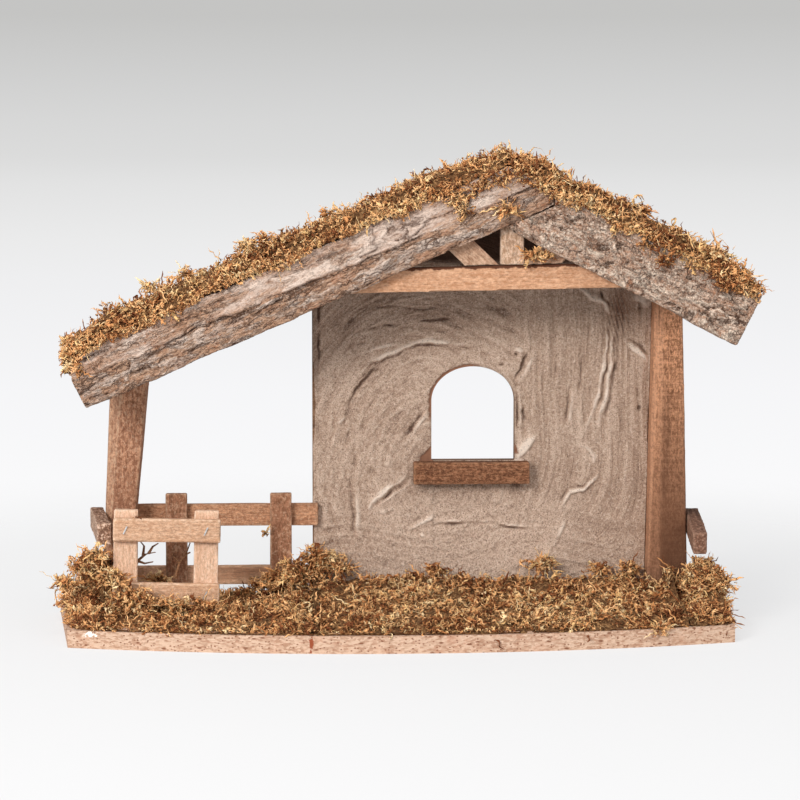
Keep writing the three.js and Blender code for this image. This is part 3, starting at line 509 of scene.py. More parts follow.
    def surface(self, colour: object, roughness: object, normal: object, shine: float = 0.2,
                metal: float = 0) -> None:
        """Closes a material with a Principled surface."""
        shader = self.add("BsdfPrincipled", Base_Color=colour, Roughness=roughness, Normal=normal,
                          Specular_IOR_Level=shine, Metallic=metal)
        self.join("OutputMaterial", {}, shader.outputs[0])


class Effect(Enum):
    """The effects that more than one finish uses."""

    FIGURE = "wood_figure"
    WEAR = "worn_edges"
    GRIT = "fine_grit"


def effect_group(effect: Effect) -> bpy.types.NodeTree:
    """Gives a shared effect's node group, and builds it the first time.

    Args:
        effect: Which effect.

    Returns:
        The node group.
    """
    found = bpy.data.node_groups.get(effect.value)
    if found:
        return found
    builders: dict[Effect, Callable[[str], bpy.types.NodeTree]] = {
        Effect.FIGURE: build_figure,
        Effect.WEAR: build_wear,
        Effect.GRIT: build_grit,
    }
    return builders[effect](effect.value)


def new_group(name: str, inputs: Sequence[tuple[str, str]],
              outputs: Sequence[tuple[str, str]]) -> tuple[Tree, Node, Node]:
    """Starts a node group with its sockets.

    Args:
        name: The group's name.
        inputs: Name and kind of each input, where the kind is Float, Color or Vector.
        outputs: Name and kind of each output.

    Returns:
        The tree, the node that brings the inputs and the node that takes the outputs.
    """
    group = bpy.data.node_groups.new(name, "ShaderNodeTree")
    for socket, kind in inputs:
        group.interface.new_socket(name=socket, in_out="INPUT", socket_type="NodeSocket" + kind)
    for socket, kind in outputs:
        group.interface.new_socket(name=socket, in_out="OUTPUT", socket_type="NodeSocket" + kind)
    tree = Tree(group)
    return tree, group.nodes.new("NodeGroupInput"), group.nodes.new("NodeGroupOutput")


def build_figure(name: str) -> bpy.types.NodeTree:
    """Builds the figure of sawn wood: streaks along the grain, pores, fuzz and the saw's marks across it.

    Args:
        name: The group's name.

    Returns:
        The node group.
    """
    tree, given, result = new_group(
        name,
        [("Vector", "Vector"), ("Light", "Color"), ("Dark", "Color"), ("Stain", "Color"),
         ("Contrast", "Float"), ("Pores", "Float"), ("Fuzz", "Float"), ("Marks", "Float")],
        [("Color", "Color"), ("Height", "Float")],
    )
    vector = given.outputs["Vector"]
    broad = tree.noise(tree.scaled(vector, (9, 90, 90)), 1, 3, 0.6, 0.4)
    streak = tree.noise(tree.scaled(vector, (18, 400, 400)), 1, 6, 0.7, 0.8)
    pore = tree.noise(tree.scaled(vector, (150, 900, 900)), 1, 3, 0.7)
    saw = tree.noise(tree.scaled(vector, (620, 70, 70)), 1, 3, 0.6, 0.6)
    fuzz = tree.noise(tree.scaled(vector, (330, 620, 620)), 1, 4, 0.85)
    rough = tree.plus(tree.times(tree.minus(fuzz, 0.5), given.outputs["Fuzz"]),
                      tree.times(tree.minus(saw, 0.5), given.outputs["Marks"]))
    spread = tree.plus(tree.times(tree.minus(streak, 0.5), given.outputs["Contrast"]), 0.5)
    base = tree.mix(tree.plus(spread, rough), given.outputs["Light"], given.outputs["Dark"])
    stained = tree.mix(tree.span(broad, 0.5, 0.72), base, given.outputs["Stain"])
    open_pores = tree.times(tree.span(pore, 0.36, 0.52, 1, 0), given.outputs["Pores"])
    colour = tree.mix(open_pores, stained, (0.06, 0.028, 0.016))
    tree.feed(result.inputs["Color"], colour)
    tree.feed(result.inputs["Height"], tree.weighted((streak, 0.4), (pore, 0.2), (rough, -0.16)))
    return tree.tree


def build_wear(name: str) -> bpy.types.NodeTree:
    """Builds worn edges: a mask of the mesh's raised edges, broken up by noise.

    Args:
        name: The group's name.

    Returns:
        The node group.
    """
    tree, given, result = new_group(name, [("Vector", "Vector"), ("Amount", "Float")], [("Mask", "Float")])
    raised = tree.span(tree.add("NewGeometry").outputs["Pointiness"], 0.5, 0.56)
    broken = tree.span(tree.noise(given.outputs["Vector"], 260, 4, 0.65), 0.38, 0.62)
    mask = tree.times(tree.times(raised, broken), given.outputs["Amount"])
    tree.feed(result.inputs["Mask"], mask)
    return tree.tree


def build_grit(name: str) -> bpy.types.NodeTree:
    """Builds fine grit: a height of small grains and a mask of scattered dark specks.

    Args:
        name: The group's name.

    Returns:
        The node group.
    """
    tree, given, result = new_group(
        name,
        [("Vector", "Vector"), ("Scale", "Float"), ("Specks", "Float")],
        [("Height", "Float"), ("Speck", "Float")],
    )
    vector, scale = given.outputs["Vector"], given.outputs["Scale"]
    fine, cells = tree.noise(vector, scale, 4, 0.7), tree.cells(vector, scale)
    chosen = tree.math("LESS_THAN", tree.add("SeparateColor", Color=cells.outputs["Color"]).outputs[0],
                       given.outputs["Specks"])
    near = tree.span(cells.outputs["Distance"], 0.18, 0.4, 1, 0)
    tree.feed(result.inputs["Height"], fine)
    tree.feed(result.inputs["Speck"], tree.times(chosen, near))
    return tree.tree


class Finish:
    """Something that can make its own material."""

    name: str

    def paint(self, tree: Tree) -> None:
        """Fills in the material's nodes."""
        raise NotImplementedError

    def material(self) -> bpy.types.Material:
        """Gives the finish's material, and builds it the first time."""
        found = bpy.data.materials.get(self.name)
        if found:
            return found
        made = bpy.data.materials.new(self.name)
        made.use_nodes = True
        self.paint(Tree(made.node_tree))
        return made

    def dress(self, obj: Piece) -> None:
        """Gives an object this finish and no other."""
        obj.data.materials.clear()
        obj.data.materials.append(self.material())


@dataclass(frozen=True)
class SawnWood(Finish):
    """Rough sawn wood, fed by the attributes that Slat.build stores. In one, X runs along the grain."""

    name: str
    light: Colour
    dark: Colour
    stain: Colour
    contrast: float = 1.7
    worn: float = 0.5
    pale: Colour = (0.72, 0.5, 0.34)
    shaded_foot: float = 0
    waney: bool = False
    pores: float = 0.35
    fuzz: float = 4.2
    marks: float = 0.4
    lit_side: float = 0.4
    blotch: float = 0.25

    def paint(self, tree: Tree) -> None:
        """Fills in the material's nodes."""
        grain = tree.attribute("grain", vector=True)
        figure = tree.group(Effect.FIGURE, Vector=grain, Light=self.light, Dark=self.dark, Stain=self.stain,
                            Contrast=self.contrast, Pores=self.pores, Fuzz=self.fuzz, Marks=self.marks)
        wear = tree.group(Effect.WEAR, Vector=grain, Amount=self.worn)
        grit = tree.group(Effect.GRIT, Vector=tree.scaled(grain, (0.4, 1, 1)), Scale=620.0, Specks=0.22)
        colour = tree.mix(tree.times(grit.outputs["Speck"], 0.7), figure.outputs["Color"], self.stain)
        streaky = tree.noise(tree.scaled(grain, (40, 420, 420)), 1, 4, 0.75)
        lit = tree.span(streaky, 0.36, 0.6, 0.3 * self.lit_side, self.lit_side)
        colour = tree.mix(tree.times(tree.attribute("side"), lit), colour, self.pale)
        colour = tree.mix(wear.outputs["Mask"], colour, self.pale)
        broken = tree.span(tree.noise(grain, 300, 3, 0.6), 0.35, 0.6, 0, 0.75)
        # painted highlight along the front-left arris
        colour = tree.mix(tree.times(tree.attribute("arris"), broken), colour, self.pale)
        place = tree.place()
        mottle = tree.noise(place, 430, 3, 0.75)
        colour = tree.mix(tree.span(mottle, 0.5, 0.62, 0, self.blotch), colour, self.stain)
        colour = tree.mix(tree.span(mottle, 0.36, 0.48, self.blotch, 0), colour, self.pale)
        height = tree.add("SeparateXYZ", Vector=place).outputs[2]
        if self.shaded_foot:
            unlit = tree.minus(1, tree.times(tree.attribute("side"), 0.6))
            foot = tree.times(tree.span(height, 0.03, 0.25, self.shaded_foot, 0), unlit)
            colour = tree.mix(foot, colour, self.stain)
        if self.waney:
            wavy = tree.minus(tree.noise(tree.scaled(place, (110, 0, 60)), 1, 4, 0.65), 0.5)
            below = tree.minus(tree.attribute("below_top"), tree.times(wavy, 0.007))
            wane = tree.span(below, 0.0012, 0.0022, 1, 0)
            colour = tree.mix(wane, colour, (0.1, 0.036, 0.018))
        rough = tree.span(figure.outputs["Height"], 0.2, 0.8, 0.92, 0.72)
        tree.surface(colour, rough, tree.bump(figure.outputs["Height"], 1.1 * MM, 0.95))


@dataclass(frozen=True)
class RawBoard(Finish):
    """Raw brown board of the wall and the roof, on Object coordinates."""

    name: str = "raw_brown_board"
    light: Colour = (0.34, 0.2, 0.12)
    dark: Colour = (0.17, 0.09, 0.05)
    stain: Colour = (0.12, 0.06, 0.035)

    def paint(self, tree: Tree) -> None:
        """Fills in the material's nodes."""
        place = tree.place()
        figure = tree.group(Effect.FIGURE, Vector=place, Light=self.light, Dark=self.dark, Stain=self.stain,
                            Contrast=1.8, Pores=0.35, Fuzz=2.4, Marks=0.4)
        grit = tree.group(Effect.GRIT, Vector=place, Scale=900.0, Specks=0.12)
        colour = tree.mix(grit.outputs["Speck"], figure.outputs["Color"], self.stain)
        tree.surface(colour, 0.85, tree.bump(figure.outputs["Height"], 0.4 * MM, 0.6))


@dataclass(frozen=True)
class Chipboard(Finish):
    """Raw chipboard: pressed flakes, brown flecks and a little spilt paint on its front edge."""

    name: str = "raw_chipboard"
    pale: Colour = (0.62, 0.435, 0.32)
    tan: Colour = (0.4, 0.23, 0.15)
    fleck: Colour = (0.2, 0.08, 0.042)
    stain: Colour = (0.28, 0.07, 0.03)
    paint_colour: Colour = (0.88, 0.85, 0.8)
    paint_place: Point = (-0.2135, -0.061, 0.0098)
    stain_place: Point = (-0.0635, -0.0835, 0.0065)

    def spot(self, tree: Tree, place: Socket, centre: Point, scale: Colour) -> Socket:
        """Gives a ragged mask round a point.

        Args:
            tree: The tree.
            place: The coordinates.
            centre: The spot's middle, in metres.
            scale: One over the spot's half size along each axis.

        Returns:
            The mask, 1 in the middle.
        """
        moved = tree.shifted(place, tuple(-c for c in centre))
        away = tree.length(tree.scaled(moved, scale))
        ragged = tree.plus(away, tree.times(tree.noise(place, 420, 4, 0.7), 2.6))
        return tree.span(ragged, 1.75, 1.95, 1, 0)

    def paint(self, tree: Tree) -> None:
        """Fills in the material's nodes."""
        place = tree.place()
        flakes = tree.cells(tree.scaled(place, (360, 600, 950)), 1)
        tone = tree.add("SeparateColor", Color=flakes.outputs["Color"]).outputs[0]
        cloud = tree.noise(place, 150, 5, 0.7)
        share = tree.weighted((tone, 0.35), (cloud, 0.65))
        base = tree.mix(tree.span(share, 0.36, 0.72), self.pale, self.tan)
        grit = tree.group(Effect.GRIT, Vector=tree.scaled(place, (0.7, 1, 1.1)), Scale=620.0, Specks=0.4)
        coarse = tree.group(Effect.GRIT, Vector=tree.scaled(place, (0.5, 1, 1.3)), Scale=330.0, Specks=0.17)
        specks = tree.math("MAXIMUM", grit.outputs["Speck"], coarse.outputs["Speck"])
        warm = tree.noise(place, 60, 4, 0.65)
        base = tree.mix(tree.span(warm, 0.5, 0.66, 0, 0.4), base, (0.55, 0.29, 0.19))
        flecked = tree.mix(tree.times(specks, 0.95), base, self.fleck)
        stained = tree.mix(self.spot(tree, place, self.stain_place, (420, 150, 120)), flecked, self.stain)
        paint = self.spot(tree, place, self.paint_place, (130, 60, 330))
        edge = tree.math("MINIMUM", tree.math("DIVIDE", flakes.outputs["Distance"], 0.7), 1)
        height = tree.plus(tree.times(edge, 0.5), grit.outputs["Height"])
        tree.surface(tree.mix(paint, stained, self.paint_colour), 0.88, tree.bump(height, 0.6 * MM, 0.7))


@dataclass(frozen=True)
class Plaster(Finish):
    """Trowelled taupe plaster with dark specks, fed by the attributes that BackWall.build_plaster stores."""

    name: str = "trowelled_plaster"
    light: Colour = (0.68, 0.51, 0.4)
    mid: Colour = (0.47, 0.325, 0.24)
    dark: Colour = (0.17, 0.1, 0.07)
    grain: Colour = (0.97, 0.84, 0.72)
    speck_and_groove_shade: Colour = (0.09, 0.045, 0.03)
    bare: Colour = (0.29, 0.14, 0.085)
    gloom: Colour = (0.07, 0.036, 0.023)

    def paint(self, tree: Tree) -> None:
        """Fills in the material's nodes."""
        place = tree.place()
        relief = tree.attribute("relief")
        round_lines = tree.noise(tree.attribute("swirl", vector=True), 2.6, 4, 0.65)
        down_lines = tree.noise(tree.attribute("fall", vector=True), 2.6, 4, 0.65)
        lines = tree.add("Mix", {"data_type": "FLOAT"})
        for index, item in ((0, tree.attribute("share")), (2, round_lines), (3, down_lines)):
            tree.feed(lines.inputs[index], item)
        lines = lines.outputs[0]
        cloud = tree.noise(place, 26, 4, 0.6)
        # the colour follows the relief: painted highlight on raised parts and painted shade in hollows, mixed
        # with cloudy and stroke tones
        share = tree.weighted((relief, 0.75), (cloud, 0.25), (tree.minus(lines, 0.5), 0.6))
        base = tree.ramp(share, [(0.16, self.dark), (0.4, self.mid), (0.72, self.light)])
        base = tree.mix(tree.times(tree.attribute("share"), 0.2), base, self.mid)
        base = tree.mix(tree.times(tree.attribute("calm"), 0.45), base, self.light)
        coarse = tree.noise(place, 430, 3, 0.75)
        base = tree.mix(tree.span(coarse, 0.54, 0.68, 0, 0.42), base, self.dark)
        base = tree.mix(tree.span(coarse, 0.34, 0.46, 0.26, 0), base, self.grain)
        sand = tree.noise(place, 1000, 4, 0.85)
        grit = tree.group(Effect.GRIT, Vector=place, Scale=820.0, Specks=0.24)
        toned = tree.mix(tree.span(sand, 0.5, 0.62, 0, 0.66), base, self.dark)
        toned = tree.mix(tree.span(sand, 0.36, 0.46, 0.4, 0), toned, self.grain)
        # painted highlight on the ridges' crests and painted shade in their grooves
        crest = tree.attribute("crest")
        toned = tree.mix(tree.span(crest, 0.2, 1, 0, 0.55), toned, self.grain)
        toned = tree.mix(tree.span(crest, -0.8, -0.2, 0.6, 0), toned, self.speck_and_groove_shade)
        specked = tree.mix(tree.times(grit.outputs["Speck"], 0.7), toned, self.speck_and_groove_shade)
        # bare board at the window's foot and in the combed corner, and painted shadow in the groove round the
        # window's upper left
        colour = tree.mix(tree.attribute("raw"), specked, self.bare)
        # painted shade under the roof and at the upper left, and the real dark strip along the wall's bare
        # left edge
        colour = tree.mix(tree.attribute("gloom"), colour, self.gloom)
        height = tree.weighted((lines, 1.5), (sand, -0.8), (coarse, -0.6), (grit.outputs["Speck"], -0.35))
        tree.surface(colour, 0.9, tree.bump(height, 0.9 * MM, 0.85))


@dataclass(frozen=True)
class Bark(Finish):
    """Weathered bark, fed by the attributes that BarkSlab.build stores. A rank of 0 is the deepest."""

    name: str
    crevice: Colour = (0.07, 0.033, 0.02)
    inner: Colour = (0.46, 0.24, 0.145)
    outer: Colour = (0.5, 0.305, 0.2)
    grey: Colour = (0.53, 0.4, 0.33)
    cream: Colour = (0.82, 0.67, 0.57)
    rust: Colour = (0.5, 0.19, 0.08)
    stretch: float = 1
    cut: float = 0.8
    patchy: float = 0.3
    tight: float = 1

    def paint(self, tree: Tree) -> None:
        """Fills in the material's nodes."""
        flow = tree.scaled(tree.attribute("flow", vector=True), (self.stretch, 1, 1))
        rank, tone, band = (tree.attribute(name) for name in ("rank", "tone", "band"))
        strand = tree.noise(tree.scaled(flow, (36, 420, 420)), 1, 6, 0.72, 1.0)
        fine = tree.noise(tree.scaled(flow, (270, 620, 620)), 1, 4, 0.82)
        cloud = tree.noise(tree.scaled(flow, (40, 120, 120)), 1, 4, 0.6)
        share = tree.weighted((tone, self.patchy), (strand, 0.45), (fine, 0.6 - self.patchy))
        stops = ((-0.17, self.inner), (0, self.outer), (0.12, self.grey), (0.25, self.cream))
        flaky = tree.ramp(share, [(0.5 + self.tight * step, colour) for step, colour in stops])
        mottle = tree.noise(tree.scaled(flow, (150, 260, 260)), 1, 5, 0.65, 0.5)
        share = tree.weighted((tone, 0.2), (mottle, 0.5), (fine, 0.3))
        calm = tree.ramp(share, [(0.3, self.outer), (0.5, self.grey), (0.78, self.cream)])
        pits = tree.noise(tree.scaled(flow, (170, 520, 520)), 1, 4, 0.7, 0.6)
        calm = tree.mix(tree.span(pits, 0.57, 0.68, 0, 0.7), calm, self.inner)
        colour = tree.mix(band, flaky, calm)
        colour = tree.mix(tree.span(cloud, 0.56, 0.68, 0, 0.4), colour, self.inner)
        colour = tree.mix(tree.span(tree.noise(flow, 60, 5, 0.75), 0.6, 0.68, 0, 0.6), colour, self.rust)
        # painted shade in the deepest hollows and painted highlight on the highest crests
        hollow = tree.plus(rank, tree.times(tree.minus(fine, 0.5), 0.7))
        colour = tree.mix(tree.span(hollow, 0.02, 0.2, 0.8, 0), colour, self.crevice)
        colour = tree.mix(tree.span(hollow, 0.75, 1, 0, 0.6), colour, self.cream)
        short = tree.times(self.splits(tree, flow, (80, 520), 0.12), 0.6)
        split = tree.math("MAXIMUM", self.splits(tree, flow, (36, 190), 0.08), short)
        split = tree.times(split, tree.minus(1, tree.times(band, 0.88)))
        colour = tree.mix(tree.times(split, self.cut), colour, self.crevice)
        sand = tree.noise(tree.scaled(flow, (420, 850, 850)), 1, 3, 0.8)
        colour = tree.mix(tree.span(sand, 0.5, 0.63, 0, 0.45), colour, self.crevice)
        colour = tree.mix(tree.span(sand, 0.36, 0.46, 0.3, 0), colour, self.cream)
        # painted shadow along the sheets' torn edges
        colour = tree.mix(tree.times(tree.attribute("rim"), 0.8), colour, self.crevice)
        rough = tree.times(tree.weighted((strand, 0.9), (fine, 0.9)), tree.minus(1, tree.times(band, 0.65)))
        height = tree.minus(rough, tree.times(split, 0.8))
        tree.surface(colour, 0.92, tree.bump(height, 1.6 * MM, 1))

    def splits(self, tree: Tree, flow: Socket, scale: tuple[float, float], width: float) -> Socket:
        """Gives a mask of thin ragged splits between flakes.

        Args:
            tree: The tree.
            flow: The slab's coordinates.
            scale: Flakes per metre along the slab and across it.
            width: The splits' half width, as a share of a flake.

        Returns:
            The mask, 1 in a split.
        """
        along, across = scale
        bend = tree.add("TexNoise", Vector=flow, Scale=along * 1.8, Detail=4.0, Roughness=0.65)
        stray = tree.scaled(bend.outputs["Color"], (1.8, 3.4, 1))
        bent = tree.shifted(tree.scaled(flow, (along, across, across)), stray)
        edge = tree.add("TexVoronoi", {"feature": "DISTANCE_TO_EDGE"}, Vector=bent, Scale=1.0)
        broken = tree.span(tree.noise(bent, 0.9, 3, 0.6), 0.44, 0.56)
        return tree.times(tree.span(edge.outputs["Distance"], width * 0.3, width, 1, 0), broken)


@dataclass(frozen=True)
class DryMoss(Finish):
    """Dried moss. Attributes: tint (one number per sprig), tip (0 at its root and 1 at its tip)."""

    name: str = "dried_moss"
    # colour of the painted shade at the sprigs' roots
    root: Colour = (0.1, 0.04, 0.015)

    def paint(self, tree: Tree) -> None:
        """Fills in the material's nodes."""
        spotty = tree.noise(tree.place(), 800, 3, 0.65)
        share = tree.plus(tree.attribute("tint"), tree.times(tree.minus(spotty, 0.5), 0.5))
        colour = tree.ramp(share, [
            (0, (0.19, 0.058, 0.02)), (0.2, (0.5, 0.2, 0.07)), (0.42, (0.84, 0.43, 0.175)),
            (0.62, (1.0, 0.61, 0.3)), (0.8, (0.9, 0.57, 0.24)), (1, (1.0, 0.76, 0.44)),
        ])
        # painted shade: each sprig darkens towards its root
        shaded = tree.mix(tree.span(tree.attribute("tip"), 0, 0.6, 0.9, 0), colour, self.root)
        tree.surface(shaded, 0.75, tree.bump(spotty, 0.3 * MM, 0.5))


@dataclass(frozen=True)
class MossBed(Finish):
    """The matted ground under the sprigs, on Object coordinates, painted dark brown to near black as the
    shade between the sprigs.
    """

    name: str = "matted_moss"

    def paint(self, tree: Tree) -> None:
        """Fills in the material's nodes."""
        place = tree.place()
        clump = tree.noise(place, 260, 6, 0.75, 1.2)
        cells = tree.cells(place, 480)
        share = tree.weighted((clump, 0.8), (cells.outputs["Distance"], 0.3))
        colour = tree.ramp(share, [
            (0.36, (0.035, 0.015, 0.007)), (0.55, (0.17, 0.08, 0.032)), (0.76, (0.5, 0.28, 0.12)),
        ])
        tree.surface(colour, 0.95, tree.bump(clump, 2 * MM, 1))


@dataclass(frozen=True)
class BrightSteel(Finish):
    """Bright drawn wire and zinc plate, a little dulled."""

    name: str = "bright_steel"

    def paint(self, tree: Tree) -> None:
        """Fills in the material's nodes."""
        scratch = tree.noise(tree.scaled(tree.place(), (300, 2500, 2500)), 1, 3, 0.6)
        colour = tree.mix(tree.span(scratch, 0.4, 0.65), (0.78, 0.78, 0.78), (0.5, 0.49, 0.47))
        rough = tree.span(scratch, 0.3, 0.7, 0.25, 0.45)
        tree.surface(colour, rough, tree.bump(scratch, 0.05 * MM, 0.4), 0.5, 1)


@dataclass(frozen=True)
class Twig(Finish):
    """Dark brown twig bark, on Object coordinates."""

    name: str = "twig_bark"
    pale: Colour = (0.36, 0.18, 0.09)
    dark: Colour = (0.12, 0.055, 0.028)

    def paint(self, tree: Tree) -> None:
        """Fills in the material's nodes."""
        patch = tree.noise(tree.place(), 900, 4, 0.65)
        colour = tree.mix(tree.span(patch, 0.35, 0.65), self.pale, self.dark)
        tree.surface(colour, 0.85, tree.bump(patch, 0.3 * MM, 0.7))


# Sawn slats and posts


@dataclass
class Slat:
    """One sawn piece of wood that replaces a CAD node of the same place and size."""

    node: str
    finish: SawnWood
    slot: str
    grain: Point = (1, 0, 0)
    cell: float = 0.9 * MM
    waviness: float = 0.35 * MM
    tear: float = 0.16 * MM
    chip: float = 0.9 * MM
    rise: float = 0
    nudge: float = 0
    trim: tuple[float, float] = (0, 0)

    def build(self, seed: int) -> Piece:
        """Builds the piece with softened edges, a slight wave and torn grain.

        Args:
            seed: The seed of this piece's own noise.

        Returns:
            The finished piece.
        """
        obj = remeshed(self.node, "_wood", self.cell, hull=True)
        points, normals = points_of(obj), normals_of(obj)
        along = self.along(points, seed)
        field = Field(seed)
        wave = field.rough(along * (14, 18, 18), 2)
        torn = field.rough(along * (60, 620, 620), 3, 0.6)
        shift = self.waviness * wave + self.tear * torn - 0.1 * MM
        on_edge = ease(0.06, 0.22, 1 - np.abs(normals @ self.axes().T).max(axis=1))
        shift -= self.chip * on_edge * np.clip(field.rough(along * (110, 300, 300) + 5, 3) + 0.12, 0, 0.8)
        points += normals * shift[:, None]
        points[:, 0] += self.nudge + self.trimmed(points)
        move_points(obj, points)
        # faces on the front-left arris, which the finish paints as a highlight
        arris = np.exp(-(((normals[:, 0] + 0.36) / 0.16) ** 2)) * (normals[:, 1] < -0.6)
        set_attributes(obj, grain=along, side=ease(0.35, 0.8, -normals[:, 0]), arris=arris)
        if self.finish.waney:
            tilted = points[:, 2] - self.rise * points[:, 0]
            set_attributes(obj, below_top=tilted.max() - 0.3 * MM - tilted)
        smooth(obj, 60)
        self.finish.dress(obj)
        return settle(obj, self.slot, self.node)

    def trimmed(self, points: Array) -> Array:
        """Gives how far each point of an upright moves to the right so that its left side is trimmed.

        Args:
            points: The points.

        Returns:
            The trim at the left side, which differs from foot to head, and less towards the right side.
        """
        if not any(self.trim):
            return np.zeros(len(points))
        x, z = points[:, 0], points[:, 2]
        ends = z.min() + 8 * MM, z.max() - 25 * MM
        level = [x[np.abs(z - end) < 4 * MM] for end in ends]
        left = np.interp(z, ends, [row.min() for row in level])
        right = np.interp(z, ends, [row.max() for row in level])
        return np.interp(z, ends, self.trim) * np.clip((right - x) / (right - left), 0, 1)

    def axes(self) -> Array:
        """Gives the piece's own three directions, the first one along the grain, as rows."""
        axis = np.array(self.grain, float)
        axis /= np.linalg.norm(axis)
        side = np.cross((0, 1, 0) if abs(axis[1]) < 0.9 else (1, 0, 0), axis)
        side /= np.linalg.norm(side)
        return np.stack([axis, side, np.cross(axis, side)])

    def along(self, points: Array, seed: int) -> Array:
        """Gives coordinates with X along the grain, shifted so that no two pieces match."""
        return points @ self.axes().T + 0.37 * seed


# The back wall


@dataclass
class BackWall:
    """The board's coat of plaster with its window, and the sill."""

    cell: float = 0.88 * MM
    coat: float = 2.6 * MM
    edge_round: float = 2.2 * MM
    swirl_centre: tuple[float, float] = (28 * MM, 106 * MM)

    def outline(self) -> dict[str, float]:
        """Reads the coat's and the window's edges from the CAD node."""
        points = points_of(bpy.data.objects["wall_plaster"])
        x, z = points[:, 0], points[:, 2]
        ridge = points[z.argmax()]
        at_left, at_foot = np.abs(x - x.min()) < MM / 10, np.abs(z - z.min()) < MM / 10
        right_top = points[x.argmax()]
        inner = (x > x.min() + 20 * MM) & (x < x.max() - 20 * MM)
        window = points[inner & (z > z.min() + 20 * MM) & (z < ridge[2] - 50 * MM)]
        jamb = np.abs(window[:, 0] - window[:, 0].min()) < MM / 10
        return {
            "left": x.min(), "foot": z.min(), "right_foot": x[at_foot].max(), "right_head": right_top[0],
            "ridge_x": ridge[0], "ridge_z": ridge[2],
            "left_head_z": z[at_left].max(), "right_head_z": right_top[2],
            "window_left": window[:, 0].min(), "window_right": window[:, 0].max(),
            "window_foot": window[:, 2].min(), "window_top": window[:, 2].max(),
            "springing": window[jamb][:, 2].max(), "back": points[:, 1].max(), "front": points[:, 1].min(),
        }

    def top(self, x: Array, edge: dict[str, float]) -> Array:
        """Gives the height of the roof's underside along the wall.

        Args:
            x: Places across the wall.
            edge: The edges, from outline.

        Returns:
            One height per place.
        """
        left = edge["left_head_z"] + (x - edge["left"]) * (edge["ridge_z"] - edge["left_head_z"]) / (
            edge["ridge_x"] - edge["left"])
        right = edge["ridge_z"] + (x - edge["ridge_x"]) * (edge["right_head_z"] - edge["ridge_z"]) / (
            edge["right_head"] - edge["ridge_x"])
        return np.where(x < edge["ridge_x"], left, right)

    def window_gap(self, x: Array, z: Array, edge: dict[str, float]) -> Array:
        """Gives each point's distance from the window's edge, less than 0 inside the window.

        Args:
            x: Places across the wall.
            z: Heights.
            edge: The edges, from outline.

        Returns:
            One distance per point.
        """
        middle = (edge["window_left"] + edge["window_right"]) / 2
        half = (edge["window_right"] - edge["window_left"]) / 2
        rise = edge["window_top"] - edge["springing"]
        box = np.maximum(np.abs(x - middle) - half, edge["window_foot"] - z)
        radius = np.hypot((x - middle) / half, (z - edge["springing"]) / rise)
        arch = (radius - 1) * (half + rise) / 2
        return np.where(z > edge["springing"], arch, box)

    def grid(self, edge: dict[str, float]) -> Piece:
        """Builds the flat coat as a grid of cells with the window cut out.

        Args:
            edge: The edges, from outline.

        Returns:
            The sheet, at the coat's back.
        """
        wide = edge["right_head"] - edge["left"]
        tall = edge["ridge_z"] - edge["foot"]
        deselect_all()
        columns, lines = int(wide / self.cell), int(tall / self.cell)
        bpy.ops.mesh.primitive_grid_add(x_subdivisions=columns, y_subdivisions=lines, size=1)
        obj = bpy.context.active_object
        obj.name = "wall_plaster_trowelled"
        points = points_of(obj)
        across, up = points[:, 0] + 0.5, points[:, 1] + 0.5
        guess = edge["foot"] + up * tall
        right = edge["right_foot"] + (edge["right_head"] - edge["right_foot"]) * (guess - edge["foot"]) / tall
        ragged = Field(5).rough(rows(guess * 90, 0, 0), 3)
        bare = ease(150 * MM, 165 * MM, guess) * (1 - ease(216 * MM, 226 * MM, guess))
        left = edge["left"] + 0.6 * MM + bare * 1.1 * MM + (0.5 + bare) * 0.9 * MM * ragged
        right += (2.6 + 1.4 * up) * MM
        x = left + across * (right - left)
        z = edge["foot"] + up * (self.top(x, edge) - edge["foot"])
        move_points(obj, rows(x, edge["back"], z))
        self.cut_window(obj, edge)
        return obj

    def cut_window(self, obj: Piece, edge: dict[str, float]) -> None:
        """Cuts the window, draws the cut cells' corners onto its edge and thickens the sheet to the coat.

        Args:
            obj: The sheet.
            edge: The edges, from outline.
        """
        points = points_of(obj)
        gap = self.window_gap(points[:, 0], points[:, 2], edge)
        step = 0.05 * MM
        slope_x = (self.window_gap(points[:, 0] + step, points[:, 2], edge) - gap) / step
        slope_z = (self.window_gap(points[:, 0], points[:, 2] + step, edge) - gap) / step
        inside = gap < 0
        faces = np.array([polygon.vertices for polygon in obj.data.polygons])
        lost = inside[faces].all(axis=1)
        drawn = inside & np.isin(np.arange(len(points)), faces[~lost])
        length = np.maximum(slope_x**2 + slope_z**2, 0.25)
        points[drawn, 0] -= (gap * slope_x / length)[drawn]
        points[drawn, 2] -= (gap * slope_z / length)[drawn]
        move_points(obj, points)
        delete_faces(obj, lost)
        bpy.ops.mesh.select_all(action="SELECT")
        bpy.ops.mesh.extrude_region_move(TRANSFORM_OT_translate={"value": (0, -self.coat, 0)})
        end_edit()
        delete_faces(obj, np.array([polygon.normal.y > 0.9 for polygon in obj.data.polygons]))
        bpy.ops.mesh.select_mode(type="EDGE")
        bpy.ops.mesh.select_non_manifold()
        bpy.ops.mesh.fill(use_beauty=False)
        end_edit()

